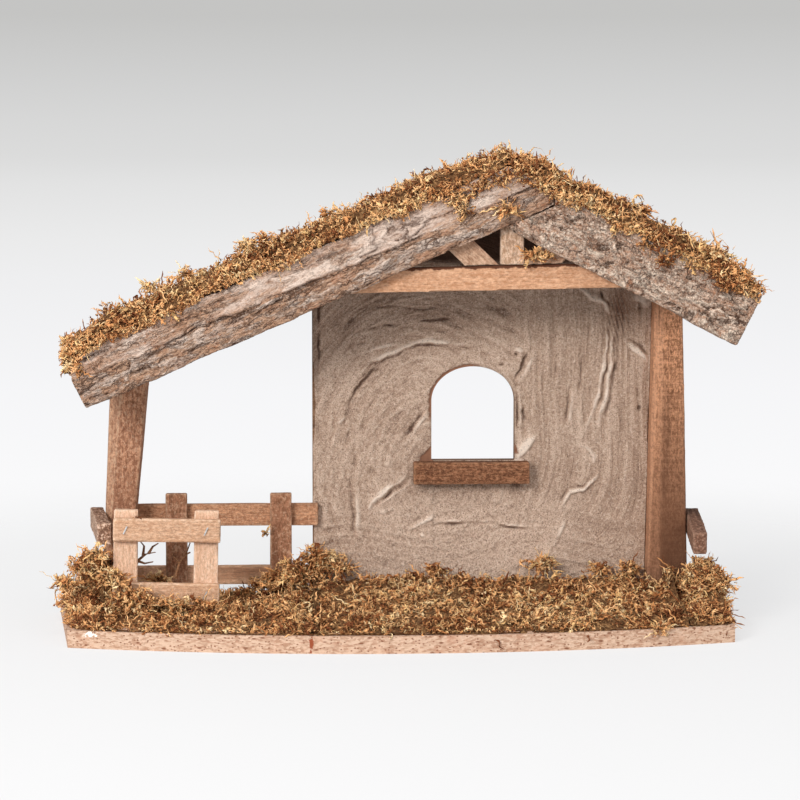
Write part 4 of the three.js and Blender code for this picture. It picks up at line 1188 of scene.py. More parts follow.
    def strokes(self, x: Array, z: Array) -> tuple[Array, Array, Array]:
        """Gives the trowel's two families of strokes as coordinates across and along them.

        Args:
            x: Place across the wall, in metres.
            z: Height, in metres.

        Returns:
            The round strokes' coordinates, the falling strokes' coordinates, and the share of the latter.
        """
        wander = 0.004 * Field(17).rough(rows(x * 14, 0, z * 14), 2)
        cx, cz = self.swirl_centre
        radius = np.hypot(x - cx, (z - cz) * 0.85) + wander
        angle = np.arctan2(x - cx, z - cz)
        swirl = rows(radius * 420, angle * 5, 0)
        lean = 6.5 * np.maximum(0, 0.125 - z) ** 2 * (1 - ease(120 * MM, 205 * MM, x))
        bend = x + lean + 0.05 * (z - 0.2) + wander
        fall = rows(bend * 480, z * 20, 0)
        return swirl, fall, ease(92 * MM, 112 * MM, x + 0.12 * (z - 0.12))

    def relief(self, x: Array, z: Array) -> Array:
        """Gives the trowelled surface's height at each point, in millimetres.

        Args:
            x: Places across the wall.
            z: Heights.

        Returns:
            One height per point.
        """
        field = Field(11)
        swirl, fall, share = self.strokes(x, z)
        level = rows((z + 0.006 * np.sin(x * 45)) * 300, x * 14, 0)
        low_share = 1 - ease(72 * MM, 92 * MM, z + 0.1 * np.abs(x - 0.06))
        streaks = (1 - share) * field.rough(swirl, 3, 0.6) + share * field.rough(fall, 3, 0.6)
        broad = (1 - share) * field.rough(swirl * 0.3, 2) + share * field.rough(fall * 0.3, 2)
        streaks = (1 - low_share) * streaks + low_share * 0.55 * field.rough(level, 2)
        torn = ease(0.18, 0.42, field.rough(swirl * (0.85, 2.4, 1) + 5, 3, 0.6)) * (1 - share)
        spots = rows(x, 0, z)
        waves = field.rough(spots * 22, 3)
        grains = 0.35 * field.rough(spots * 620, 2, 0.7) + 0.2 * field.rough(spots * 260 + 3, 2)
        streaks *= 1.25 + 0.4 * share
        return streaks + (0.6 - 0.3 * share) * broad * (1 - low_share) + 0.5 * waves + grains - 0.6 * torn

    RIDGES: tuple[tuple[float, float, tuple[tuple[float, float], ...]], ...] = (
        (-1.7, 0.9, ((-21.5, 209.2), (-11.3, 211.3), (1.5, 213.1))),
        (0.8, 1.0, ((-20, 211.6), (-10, 213.6), (3, 215.3))),
        (-1.2, 0.8, ((14.3, 214.9), (29, 216.3), (43.6, 216.7))),
        (-1.6, 0.9, ((-38.7, 199.5), (-29.6, 199.8), (-21.5, 200.4))),
        (-1.0, 0.9, ((-22.2, 225), (-4, 227), (7, 225.9), (21.6, 224), (32.6, 226.9))),
        (1.4, 1.0, ((-33.3, 183.9), (-11.3, 187.5), (-0.3, 193), (14.3, 199.9), (25.3, 201.3), (43.6, 199.2),
                    (60.1, 198.3))),
        (-1.0, 0.9, ((-33, 181.8), (-11, 185.4), (0.5, 190.8), (15, 197.6), (26, 199), (44, 196.9),
                     (60, 196))),
        (1.0, 0.9, ((-31.4, 190.5), (-5.8, 197.8), (7, 199.3))),
        (-1.1, 1.0, ((-37, 139.9), (-34, 154), (-29.6, 164.1), (-17.2, 180.2), (-6.2, 180.9))),
        (-1.3, 1.2, ((7, 128.6), (14, 140), (23.2, 150.6))),
        (0.9, 1.0, ((10.5, 128), (17, 139), (26, 150))),
        (-1.5, 0.9, ((-55.4, 252), (-55.8, 215), (-56.2, 172))),
        (1.7, 1.0, ((155.6, 218.2), (154.9, 196.2), (150.4, 172.3), (146, 150.1), (136, 129.8))),
        (-1.3, 1.0, ((157.2, 214), (156, 188), (152.4, 166), (147, 142))),
        (1.7, 1.1, ((158.5, 209), (156.9, 181.4), (154.2, 159.3), (147, 131.6))),
        (-1.5, 1.3, ((161.5, 212), (160.6, 183), (157.8, 158), (151, 134))),
        (-0.7, 0.9, ((137.3, 205.4), (134.9, 155.7))),
        (-0.7, 0.9, ((142.7, 220.1), (141.1, 187))),
        (0.8, 0.9, ((145, 222), (143.6, 186))),
        (-0.7, 0.9, ((120.7, 209.1), (115.9, 157.6))),
        (-0.7, 0.9, ((128.3, 172.3), (123.4, 128.1))),
        (0.8, 0.9, ((130.6, 172), (125.8, 130))),
        (1.9, 1.1, ((133.4, 240.3), (142.6, 232.9), (151.9, 229.2), (153.7, 223.7), (159.3, 220))),
        (1.7, 1.0, ((165, 202.5), (176.1, 194.3), (187.3, 185))),
        (-1.3, 1.2, ((165.6, 205.8), (177.6, 197.3), (188, 188.4))),
        (1.5, 2.0, ((173, 232), (181, 231.5), (186.5, 226))),
        (-2.0, 1.6, ((179.5, 226.2), (180, 225))),
        (-1.8, 1.0, ((89.4, 190.6), (90.2, 191.8))),
        (1.1, 1.0, ((88, 193.6), (91.4, 194), (92.6, 191))),
        (-1.5, 0.9, ((75, 183.6), (81.1, 183.5))),
        (-1.2, 0.9, ((98.7, 194.5), (91.4, 181.3), (86.6, 170))),
        (0.9, 0.9, ((102, 192), (95, 179), (90, 167))),
        (-1.1, 0.9, ((88.6, 172.5), (89.4, 128.2))),
        (0.9, 0.8, ((90.4, 171), (91.2, 129))),
        (-1.0, 0.9, ((92.8, 166.6), (94, 128.2))),
        (2.3, 1.5, ((88.6, 113.6), (93, 118), (98, 124), (104.5, 131.5))),
        (1.2, 1.2, ((87.4, 112.2), (94, 112.6))),
        (-1.9, 1.1, ((179.3, 153.8), (179, 149.6))),
        (1.7, 0.9, ((184, 140.7), (184.4, 139.8))),
        (0.9, 1.1, ((131.5, 124.5), (140, 122.5), (145.5, 116), (146.5, 106.5))),
        (1.9, 0.85, ((14.4, 104.6), (-5.9, 93.6), (-18, 82.5), (-20.6, 77.9), (-14.3, 75.5))),
        (1.1, 0.8, ((14.4, 107.4), (-6, 96.2), (-19.5, 84.5))),
        (-1.4, 1.3, ((12, 101.5), (-2, 91), (-14, 80.5))),
        (1.5, 0.85, ((14.4, 99), (1.5, 89.8), (-9.5, 83.6), (-14.3, 77.8))),
        (1.5, 0.8, ((-14.3, 77.8), (-4, 67.6), (-3.3, 73.2))),
        (1.0, 0.8, ((-14.3, 75.3), (-6, 75), (-1, 77.5))),
        (1.8, 0.9, ((-0.3, 63.9), (10.7, 61.2), (21.8, 67.5), (31, 73.9), (38.3, 78.5))),
        (-1.1, 1.4, ((2, 67.4), (11.5, 66), (21, 71.5))),
        (1.1, 0.75, ((12.6, 62), (31, 67.4), (51.3, 68.4), (73.4, 67.1), (93.8, 63.3), (117.9, 63.1))),
        (-1.1, 0.85, ((14, 60), (31, 65.5), (51.3, 66.5), (73.4, 65.2), (93.8, 61.4), (117, 61.2))),
        (2.0, 0.8, ((18.1, 58.6), (21.8, 57.8))),
        (2.3, 1.0, ((123.3, 77), (125.5, 83), (128.4, 88.6), (133, 89.6), (138.1, 89.9), (144, 96),
                    (151.6, 104))),
        (-1.7, 1.1, ((121, 77.5), (123.6, 85), (126.6, 91), (132, 92.6), (137.4, 92.6), (143, 98.5),
                     (149.6, 105.6))),
        (1.4, 1.3, ((96, 30), (112, 42), (121, 56), (127, 74))),
        (-0.7, 1.4, ((-32.2, 100), (-32.4, 78), (-31.6, 56))),
        (1.0, 1.2, ((-29.2, 100), (-29.2, 78), (-28.4, 58))),
        (1.6, 2.0, ((-41, 143.5), (-39.5, 141.5))),
        (-1.2, 1.1, ((149, 240), (152, 232), (158, 224))),
        (1.0, 1.0, ((105, 250), (99, 238), (92, 229))),
        (1.0, 1.0, ((112, 252), (106, 240), (100, 232))),
    )

    def ridges(self, x: Array, z: Array) -> Array:
        """Gives the height that the trowel's single ridges and grooves add, in millimetres.

        Args:
            x: Places across the wall.
            z: Heights.

        Returns:
            One height per point.
        """
        total = np.zeros(len(x))
        stray = Field(29)
        spots = rows(x, 0, z)
        wobble = rows(stray.rough(spots * 110, 4, 0.6), stray.rough(spots * 110 + 9, 4, 0.6))
        here = rows(x, z) / MM + 1.9 * wobble
        swell = 1.35 * np.clip(0.8 + 1.1 * stray.rough(spots * 95 + 20, 3), 0.15, 1.4)
        for height, width, path in self.RIDGES:
            near, side, along, done = np.full(len(x), 1e9), np.ones(len(x)), np.zeros(len(x)), 0.0
            for a, b in zip(path, path[1:]):
                start, leg = np.array(a, float), np.subtract(b, a).astype(float)
                length = float(np.hypot(*leg))
                share = np.clip(((here - start) @ leg) / length**2, 0, 1)
                away = here - start - share[:, None] * leg
                gap = np.linalg.norm(away, axis=1)
                closer = gap < near
                near = np.where(closer, gap, near)
                side = np.where(closer, away @ np.array([-leg[1], leg[0]]), side)
                along = np.where(closer, done + share * length, along)
                done += length
            taper = 0.2 + 0.8 * ease(0, 0.3 * done, along) * ease(0, 0.3 * done, done - along)
            spread = width * (np.where(side > 0, 2.6, 0.85) if height > 0 else np.where(side > 0, 1.4, 0.75))
            total += height * swell * taper * np.exp(-((near / spread) ** 2))
        return total

    def comb(self, x: Array, z: Array) -> Array:
        """Gives the depth of the rough combed corner under the right slope, in millimetres."""
        u, v = x / MM - 163, z / MM - 222
        inside = np.exp(-((u / 11) ** 2) - ((v / 20) ** 2))
        return -inside * (0.9 + 1.2 * np.sin((u + 0.3 * v) * 2.25))

    def raw(self, x: Array, z: Array, edge: dict[str, float]) -> Array:
        """Gives the mask of the two bare corners at the window's foot, of the combed corner, and of the
        groove round the window's upper left, whose dark colour is painted shadow.

        Args:
            x: Places across the wall.
            z: Heights.
            edge: The edges, from outline.

        Returns:
            One share per point, 1 where it is bare and where the groove's shadow is painted.
        """
        field = Field(23)
        ragged = 1.6 * field.rough(rows(x * 500, 0, z * 500), 2)
        left = (edge["window_left"] - x) / MM * 1.25 + np.abs(z - edge["window_foot"]) / MM + 1.5 * ragged
        right = (x - edge["window_right"]) / MM * 2.4 + np.abs(z - edge["window_foot"]) / MM + ragged
        lift = (z - edge["window_foot"]) / MM
        mask = 1 - ease(11, 13, left)
        mask = np.maximum(mask * (x < edge["window_left"] + MM), (1 - ease(11, 13, right)) *
                          ease(4, 6, lift) * (x > edge["window_right"] - MM))
        u, v = x / MM - 166, z / MM - 226
        corner = np.exp(-((u / 9) ** 2) - ((v / 14) ** 2)) * (0.4 + 0.6 * np.sin((u + 0.3 * v) * 2.25))
        middle = (edge["window_left"] + edge["window_right"]) / 2
        # the groove round the window's upper left, painted dark as shadow
        rim = (1 - ease(1.2, 2.4, self.window_gap(x, z, edge) / MM + 0.5 * ragged))
        rim = rim * ease(-8, 4, (middle - x) / MM) * ease(140, 150, z / MM)
        return np.clip(np.maximum(mask, rim) + 0.8 * corner, 0, 1)

    def build_plaster(self) -> None:
        """Builds the coat and dresses it."""
        edge = self.outline()
        obj = self.grid(edge)
        points = points_of(obj)
        x, z = points[:, 0].copy(), points[:, 2].copy()
        front = points[:, 1] < edge["back"] - self.coat / 2
        single, combed = self.ridges(x, z), self.comb(x, z)
        height = self.relief(x, z) + single + combed
        raw = self.raw(x, z, edge)
        height = height * (1 - 0.7 * raw) - 1.6 * raw
        gap = self.window_gap(x, z, edge)
        border = np.minimum.reduce([gap, x - edge["left"], z - edge["foot"] + 0.01])
        rounded = 1 - np.sqrt(np.clip(1 - (1 - np.clip(border / self.edge_round, 0, 1)) ** 2, 0, 1))
        lift = self.coat + height * MM * (1 - rounded) - rounded * 1.3 * MM
        lift = np.clip(lift, 0.5 * MM, self.coat + 2.6 * MM)
        points[:, 1] = np.where(front, edge["back"] - lift, points[:, 1])
        move_points(obj, points)
        swirl, fall, share = self.strokes(x, z)
        calm = (1 - ease(78 * MM, 96 * MM, z)) * ease(-30 * MM, 10 * MM, x)
        calm *= 1 - ease(98 * MM, 122 * MM, x - 0.3 * z)
        # painted shade at the upper left and behind the truss, and a real dark strip along the bare left edge
        left_painted_shade = 0.12 * ease(165 * MM, 262 * MM, z) * (1 - ease(-10 * MM, 50 * MM, x))
        dark_left_edge = 0.3 * ease(160 * MM, 180 * MM, z) * (x < edge["left"] + 4.6 * MM)
        gloom = np.maximum.reduce([ease(254 * MM, 262 * MM, z), left_painted_shade, dark_left_edge])
        # the ridges' heights also steer a painted highlight on their crests and painted shade in their
        # grooves
        set_attributes(obj, relief=np.clip(0.5 + height / 3.8, 0, 1), raw=raw,
                       crest=np.clip(single / 2 + 0.35 * combed, -1, 1), calm=calm, gloom=gloom,
                       swirl=swirl, fall=fall, share=share)
        smooth(obj, 60)
        Plaster().dress(obj)
        settle(obj, "plaster", "wall_plaster")

    def build(self) -> None:
        """Builds the plaster and the sill."""
        self.build_plaster()
        sill = SawnWood("sill_wood", (0.37, 0.165, 0.085), (0.1, 0.038, 0.018), (0.11, 0.042, 0.022), 2.2,
                        pale=(0.5, 0.27, 0.15), fuzz=5.5, marks=0.3, blotch=0.35)
        Slat("window_sill", sill, "rough_wood", (1, 0, 0)).build(31)


# Posts, rails, fences and the truss


@dataclass
class Woodwork:
    """All sawn pieces but the sill: posts, side rails, the two fences and the gable truss."""

    post: SawnWood = SawnWood(
        "left_post_wood", (0.7, 0.37, 0.22), (0.25, 0.105, 0.06), (0.24, 0.1, 0.055), shaded_foot=0.35,
        fuzz=6.0, marks=0.3, blotch=0.45)
    right_post: SawnWood = SawnWood(
        "right_post_wood", (0.86, 0.43, 0.235), (0.3, 0.13, 0.065), (0.13, 0.056, 0.03),
        pale=(0.8, 0.43, 0.26), shaded_foot=0.95, fuzz=6.0, marks=2.2, lit_side=0.8, blotch=0.35)
    rear_rail: SawnWood = SawnWood(
        "rear_rail_wood", (0.7, 0.37, 0.21), (0.36, 0.165, 0.09), (0.32, 0.14, 0.075), fuzz=5.6, blotch=0.35)
    # painted light: the bottom rail's finish is a lighter copy of the top rail's, brightened against the
    # shade that it sits in
    brightened_low_rail: SawnWood = SawnWood(
        "low_rail_wood", (1.0, 0.64, 0.42), (0.66, 0.37, 0.23), (0.55, 0.29, 0.17), fuzz=5.0, blotch=0.3)
    rear_upright: SawnWood = SawnWood(
        "rear_upright_wood", (0.47, 0.225, 0.13), (0.2, 0.085, 0.043), (0.17, 0.07, 0.037), blotch=0.35)
    front_rail: SawnWood = SawnWood(
        "front_rail_wood", (0.72, 0.46, 0.305), (0.44, 0.245, 0.145), (0.56, 0.3, 0.17), 1.7, 0.6,
        (0.9, 0.68, 0.5), pores=0.25, fuzz=4.6, marks=0.2)
    front_upright: SawnWood = SawnWood(
        "front_upright_wood", (0.88, 0.6, 0.43), (0.58, 0.35, 0.225), (0.66, 0.4, 0.26), 1.6, 0.6,
        (0.94, 0.76, 0.6), pores=0.25, fuzz=4.6, marks=0.2)
    side_rail: SawnWood = SawnWood(
        "side_rail_wood", (0.42, 0.235, 0.15), (0.2, 0.1, 0.06), (0.14, 0.07, 0.045), 2.6, 0.7,
        (0.85, 0.62, 0.48), fuzz=6.5, marks=0.6, blotch=0.85)
    dark_rail: SawnWood = SawnWood(
        "right_rail_wood", (0.3, 0.15, 0.095), (0.12, 0.055, 0.035), (0.08, 0.035, 0.022),
        pale=(0.5, 0.32, 0.23), blotch=0.5)
    tie: SawnWood = SawnWood(
        "tie_beam_wood", (0.72, 0.42, 0.26), (0.42, 0.2, 0.1), (0.5, 0.25, 0.135), 2.0, 0.3, (0.8, 0.56, 0.4),
        waney=True, pores=0.25, fuzz=3.6, marks=0.2)
    king: SawnWood = SawnWood(
        "king_post_wood", (0.82, 0.57, 0.415), (0.42, 0.25, 0.155), (0.44, 0.26, 0.155), 1.8, 0.3,
        (0.9, 0.72, 0.56), fuzz=6.5, marks=0.4, blotch=0.45)
    strut: SawnWood = SawnWood(
        "strut_wood", (0.64, 0.42, 0.29), (0.36, 0.2, 0.12), (0.26, 0.12, 0.07), 1.8, 0.3, (0.7, 0.5, 0.36))

    tie_rise: float = 0.0215
    strut_pitch: float = math.radians(43.8)

    def slats(self) -> list[Slat]:
        """Lists the pieces with their finish, slot and grain."""
        up, across, deep = (0.0, 0.0, 1.0), (1.0, 0.0, 0.0), (0.0, 1.0, 0.0)
        rough, pale = "rough_wood", "pale_pine"
        lean = math.tan(self.strut_pitch)
        slats = [
            Slat("left_post", self.post, rough, (0.04, 0, 1), 1.3 * MM, 0.6 * MM, 0.2 * MM, nudge=-1.4 * MM),
            Slat("right_post", self.right_post, rough, up, 1.3 * MM, 0.5 * MM, 0.2 * MM,
                 trim=(2.6 * MM, 4 * MM)),
            Slat("left_side_rail", self.side_rail, rough, deep, 0.9 * MM, 0.5 * MM, 0.25 * MM),
            Slat("right_side_rail", self.dark_rail, rough, deep, 0.9 * MM, 0.5 * MM, 0.25 * MM),
            Slat("tie_beam", self.tie, "cedar", across, 1.0 * MM, rise=self.tie_rise),
            Slat("king_post", self.king, pale, up),
            Slat("strut_left", self.strut, pale, (-1, 0, lean)),
            Slat("strut_right", self.strut, pale, (1, 0, lean)),
        ]
        for side in ("left", "right"):
            slats.append(Slat(f"rear_fence_upright_{side}", self.rear_upright, rough, up))
            slats.append(Slat(f"front_fence_upright_{side}", self.front_upright, pale, up))
        for level, rear in (("top", self.rear_rail), ("bottom", self.brightened_low_rail)):
            slats.append(Slat(f"rear_fence_{level}_rail", rear, rough, across))
            slats.append(Slat(f"front_fence_{level}_rail", self.front_rail, pale, across))
        return slats

    def build(self) -> None:
        """Builds every slat."""
        for seed, slat in enumerate(self.slats()):
            slat.build(40 + seed)


# Bark


@dataclass
class BarkSlab:
    """One slab of bark along the front edge of the roof."""

    node: str
    slope: float
    foot: tuple[float, float]
    width: float
    finish: Bark
    crack: float
    bulge: float = 2.2 * MM
    cell: float = 0.95 * MM
    knots: Points = ()

    def build(self, seed: int) -> None:
        """Builds the slab with furrows, flakes, a long crack and ragged edges.

        Args:
            seed: The seed of its noise.
        """
        obj = remeshed(self.node, "_bark", self.cell)
        points, normals = points_of(obj), normals_of(obj)
        u, v = self.flow(points)
        height, band, tone, rim = self.relief(u, v, points, seed)
        facing = np.clip(-normals[:, 1], 0, 1)
        forward = self.bulge * (1 - (2 * np.clip(v, 0, 1) - 1) ** 2) - 0.8 * MM
        points[:, 1] -= facing * (height * MM + forward)
        self.fray(points, normals, u, v, seed)
        move_points(obj, points)
        rank = np.argsort(np.argsort(height)) / len(height)
        set_attributes(obj, rank=rank, band=band, tone=tone, rim=rim * band,
                       flow=rows(u, v * self.width, points[:, 1]))
        smooth(obj, 70)
        self.finish.dress(obj)
        settle(obj, "bark", self.node)

    def flow(self, points: Array) -> tuple[Array, Array]:
        """Gives each point's place along the slab in metres, and across it from 0 below to 1 above."""
        x, z = points[:, 0] - self.foot[0], points[:, 2] - self.foot[1]
        cos, sin = math.cos(self.slope), math.sin(self.slope)
        return x * cos + z * sin, (z * cos - x * sin) / self.width

    def relief(self, u: Array, v: Array, points: Array, seed: int) -> tuple[Array, Array, Array, Array]:
        """Models the bark's surface.

        Args:
            u: Each point's place along the slab, in metres.
            v: Each point's place across it, from 0 to 1.
            points: The points, for what varies through the slab's thickness.
            seed: The seed of its noise.

        Returns:
            The height in millimetres, how smooth and grey it is, one number per flake, and the sheets' torn
            edges, where the finish paints shadow.
        """
        field = Field(seed)
        across, u = v * self.width, u * self.finish.stretch
        flat = rows(u * 30, across * 90, points[:, 1] * 30)
        warp_u, warp_v = field.rough(flat, 3), field.rough(flat + 50, 3)
        plate, plate_tilt, plate_edge = field.flakes(u * 48 + 0.9 * warp_u, across * 210 + 1.3 * warp_v)
        flake, flake_tilt, _ = field.flakes(u * 130 + 1.3 * warp_u, across * 420 + 1.6 * warp_v)
        sheet, sheet_tilt, sheet_edge = field.flakes(u * 22 + 1.1 * warp_u, across * 80 + 1.3 * warp_v)
        lean = across - 0.12 * u
        long = rows(u * 30, lean * 150, 0) + 0.6 * warp_v[:, None]
        ridge = 1 - 2.6 * np.abs(field.rough(long, 3, 0.6))
        fibre = 1 - 2.4 * np.abs(field.rough(rows(u * 75, lean * 420, 0) + 0.8 * warp_u[:, None] + 31, 3))
        wander = self.crack + 0.2 * field.rough(rows(u * 14, 0, 0) + 2, 5, 0.65)
        band = ease(wander - 0.03, wander + 0.05, v) * ease(-0.35, 0.1, field.rough(
            rows(u * 18, v * 3, 0) + 30, 3))
        waves = field.rough(rows(u * 70, across * 70, 0) + 12, 3)
        scaly = 1.2 * ridge + 0.55 * fibre + 0.55 * plate + 0.9 * plate_tilt + 0.6 * flake_tilt
        scaly -= 0.8 * np.exp(-((plate_edge / 0.09) ** 2))
        calm = 0.9 + 0.9 * sheet + 1.9 * sheet_tilt + 0.5 * waves + 0.15 * fibre + 0.1 * flake_tilt
        calm -= 0.8 * np.exp(-((sheet_edge / 0.05) ** 2))
        height = (1 - band) * scaly + band * calm
        split = np.exp(-(((v - wander) * self.width / (0.7 * MM)) ** 2))
        height -= 2.0 * split * ease(-0.15, 0.15, field.rough(rows(u * 26, 0, 0) + 5, 2))
        for ku, kv, radius in self.knots:
            away = np.hypot(u - ku * self.finish.stretch, (v - kv) * self.width) / radius
            height += 1.8 * np.exp(-(((away - 1) / 0.35) ** 2)) - 1.6 * np.exp(-((away / 0.6) ** 2))
        tone = np.clip(0.5 + 0.3 * plate + 0.3 * flake + 0.25 * waves, 0, 1)
        torn = ease(-0.1, 0.25, field.rough(rows(u * 40, across * 60, 0) + 44, 2))
        return height, band, tone, np.exp(-((sheet_edge / 0.06) ** 2)) * torn

    def fray(self, points: Array, normals: Array, u: Array, v: Array, seed: int) -> None:
        """Makes the long edges ragged by moving them up and down the slab's width.

        Args:
            points: The points, which are moved.
            normals: Their normals.
            u: Their places along the slab.
            v: Their places across it.
            seed: The seed of its noise.
        """
        field = Field(seed + 1)
        row = rows(u * 34, 0, 0)
        ragged = 1.5 * field.rough(row, 2) + 1.0 * field.rough(row * 4 + points[:, 1:2] * 200, 3)
        across = np.array([-math.sin(self.slope), 0, math.cos(self.slope)])
        edge = 1 - ease(0.0, 0.22, np.minimum(v, 1 - v))
        points += (edge * ragged * MM)[:, None] * across
        rough = field.rough(points * 300, 3)
        points += normals * (0.35 * MM * rough)[:, None]


@dataclass
class RoofBark:
    """The two bark slabs."""

    left_pitch: float = math.radians(23.2)
    right_pitch: float = math.radians(-26.5)
    left_knots: Points = ((0.058, 0.62, 5 * MM), (0.118, 0.14, 3 * MM))

    def slab(self, node: str, pitch: float, finish: Bark, crack: float, knots: Points = ()) -> BarkSlab:
        """Lays out a slab, with the foot and the width of its CAD node.

        Args:
            node: The slab's node.
            pitch: Its slope in radians.
            finish: Its finish.
            crack: Where its long crack runs, as a share of its width. Above it the bark is smooth and
                grey. A share over 1 leaves both out.
            knots: Its knots, each as its place along the slab, its place across it and its radius.

        Returns:
            The slab.
        """
        points = points_of(bpy.data.objects[node])
        across = points[:, 2] * math.cos(pitch) - points[:, 0] * math.sin(pitch)
        low = points[across.argmin()]
        foot, width = (float(low[0]), float(low[2])), float(across.max() - across.min())
        return BarkSlab(node, pitch, foot, width, finish, crack, knots=knots)

    def build(self) -> None:
        """Builds both slabs."""
        right = Bark("right_bark", (0.06, 0.027, 0.016), (0.54, 0.27, 0.16), (0.54, 0.35, 0.25),
                     (0.7, 0.52, 0.41), (1.0, 0.82, 0.66), stretch=2.3, cut=0.7, patchy=0.1, tight=0.5)
        self.slab("bark_slab_left", self.left_pitch, Bark("left_bark"), 0.52, self.left_knots).build(71)
        self.slab("bark_slab_right", self.right_pitch, right, 2).build(83)


# Moss


@dataclass
class Sprigs:
    """A few small moss sprigs, modelled once and copied many times. The first ones have no leaves."""

    LEAF = np.array([[0, 2, 1], [0, 1, 3], [1, 2, 3], [2, 0, 3]])

    bare: int = 5

    def curl(self, turns: Sequence[float], step: float, radius: float, sway: float = 0.5) -> Shape:
        """Models one curled, flattened strand by extruding a three-sided face step by step.

        Args:
            turns: How far each step bends, in degrees.
            step: Each step's length.
            radius: The strand's radius at its root.
            sway: How much each bend also turns the strand sideways.

        Returns:
            Its points and its triangles.
        """
        deselect_all()
        bpy.ops.mesh.primitive_circle_add(vertices=3, radius=radius, fill_type="NGON")
        obj = bpy.context.active_object
        begin_edit()
        bpy.ops.transform.resize(value=(0.7, 1.5, 1), center_override=(0, 0, 0))
        heading, twist, centre = 0.0, 0.0, Vector((0, 0, 0))
        for count, turn in enumerate(turns):
            heading += math.radians(turn)
            twist += math.radians(turn) * sway
            aside = math.sin(heading)
            way = Vector((aside * math.cos(twist), aside * math.sin(twist), math.cos(heading)))
            centre = centre + way * step
            bpy.ops.mesh.extrude_region_move(TRANSFORM_OT_translate={"value": way * step})
            bpy.ops.transform.rotate(value=-math.radians(turn), orient_axis="Y", center_override=centre)
            swell = 0.2 if count == len(turns) - 1 else (0.72, 1.25)[count % 2]
            bpy.ops.transform.resize(value=(swell,) * 3, center_override=centre)
        end_edit(triangles=True)
        points = points_of(obj)
        faces = np.array([polygon.vertices for polygon in obj.data.polygons])
        bpy.data.objects.remove(obj)
        return points, faces

    def feather(self, stem: Shape, leaf: float, seed: int) -> Shape:
        """Adds small pointed leaves along a strand.

        Args:
            stem: The strand's points and triangles.
            leaf: A leaf's length.
            seed: The seed for the leaves' directions.

        Returns:
            The sprig's points and triangles.
        """
        rng = np.random.default_rng(seed)
        points, faces = [stem[0]], [stem[1]]
        rings = stem[0].reshape(-1, 3, 3).mean(axis=1)
        for a, b in zip(rings[:-1], rings[1:]):
            for _ in range(2):
                root = a + (b - a) * rng.uniform(0.1, 0.9)
                along = (b - a) / np.linalg.norm(b - a)
                out = np.cross(along, rng.normal(size=3))
                out = out / np.linalg.norm(out) + along * 0.6
                side = np.cross(along, out) * leaf * 0.3
                back = along * leaf * 0.2
                tip = root + out * leaf * rng.uniform(0.6, 1.1)
                faces.append(self.LEAF + sum(len(p) for p in points))
                points.append(np.array([root - side, root + side, root + back, tip]))
        return np.concatenate(points), np.concatenate(faces)

    def models(self) -> list[Shape]:
        """Models the sprigs: first the bare curls, hooks and crumbs, then the feathered ones."""
        return [
            self.curl((30, 75, 80, 70), 1.6 * MM, 0.55 * MM, 0.5),
            self.curl((-55, 85, -80, 75), 1.7 * MM, 0.5 * MM, 1.0),
            self.curl((10, 50, 85, 60), 1.9 * MM, 0.45 * MM, 0.9),
            self.curl((25, -50, 70, -65, 60), 1.9 * MM, 0.33 * MM, 1.2),
            self.curl((40, 70), 1.6 * MM, 0.9 * MM),
            self.feather(self.curl((20, 50, 45), 2.1 * MM, 0.45 * MM), 2.4 * MM, 3),
            self.feather(self.curl((-45, 70, -50), 1.9 * MM, 0.45 * MM), 2.2 * MM, 8),
        ]


@dataclass
class Stand:
    """Where a group of sprigs stands: one root, one direction and one scale per sprig."""

    root: Array
    out: Array
    size: Array


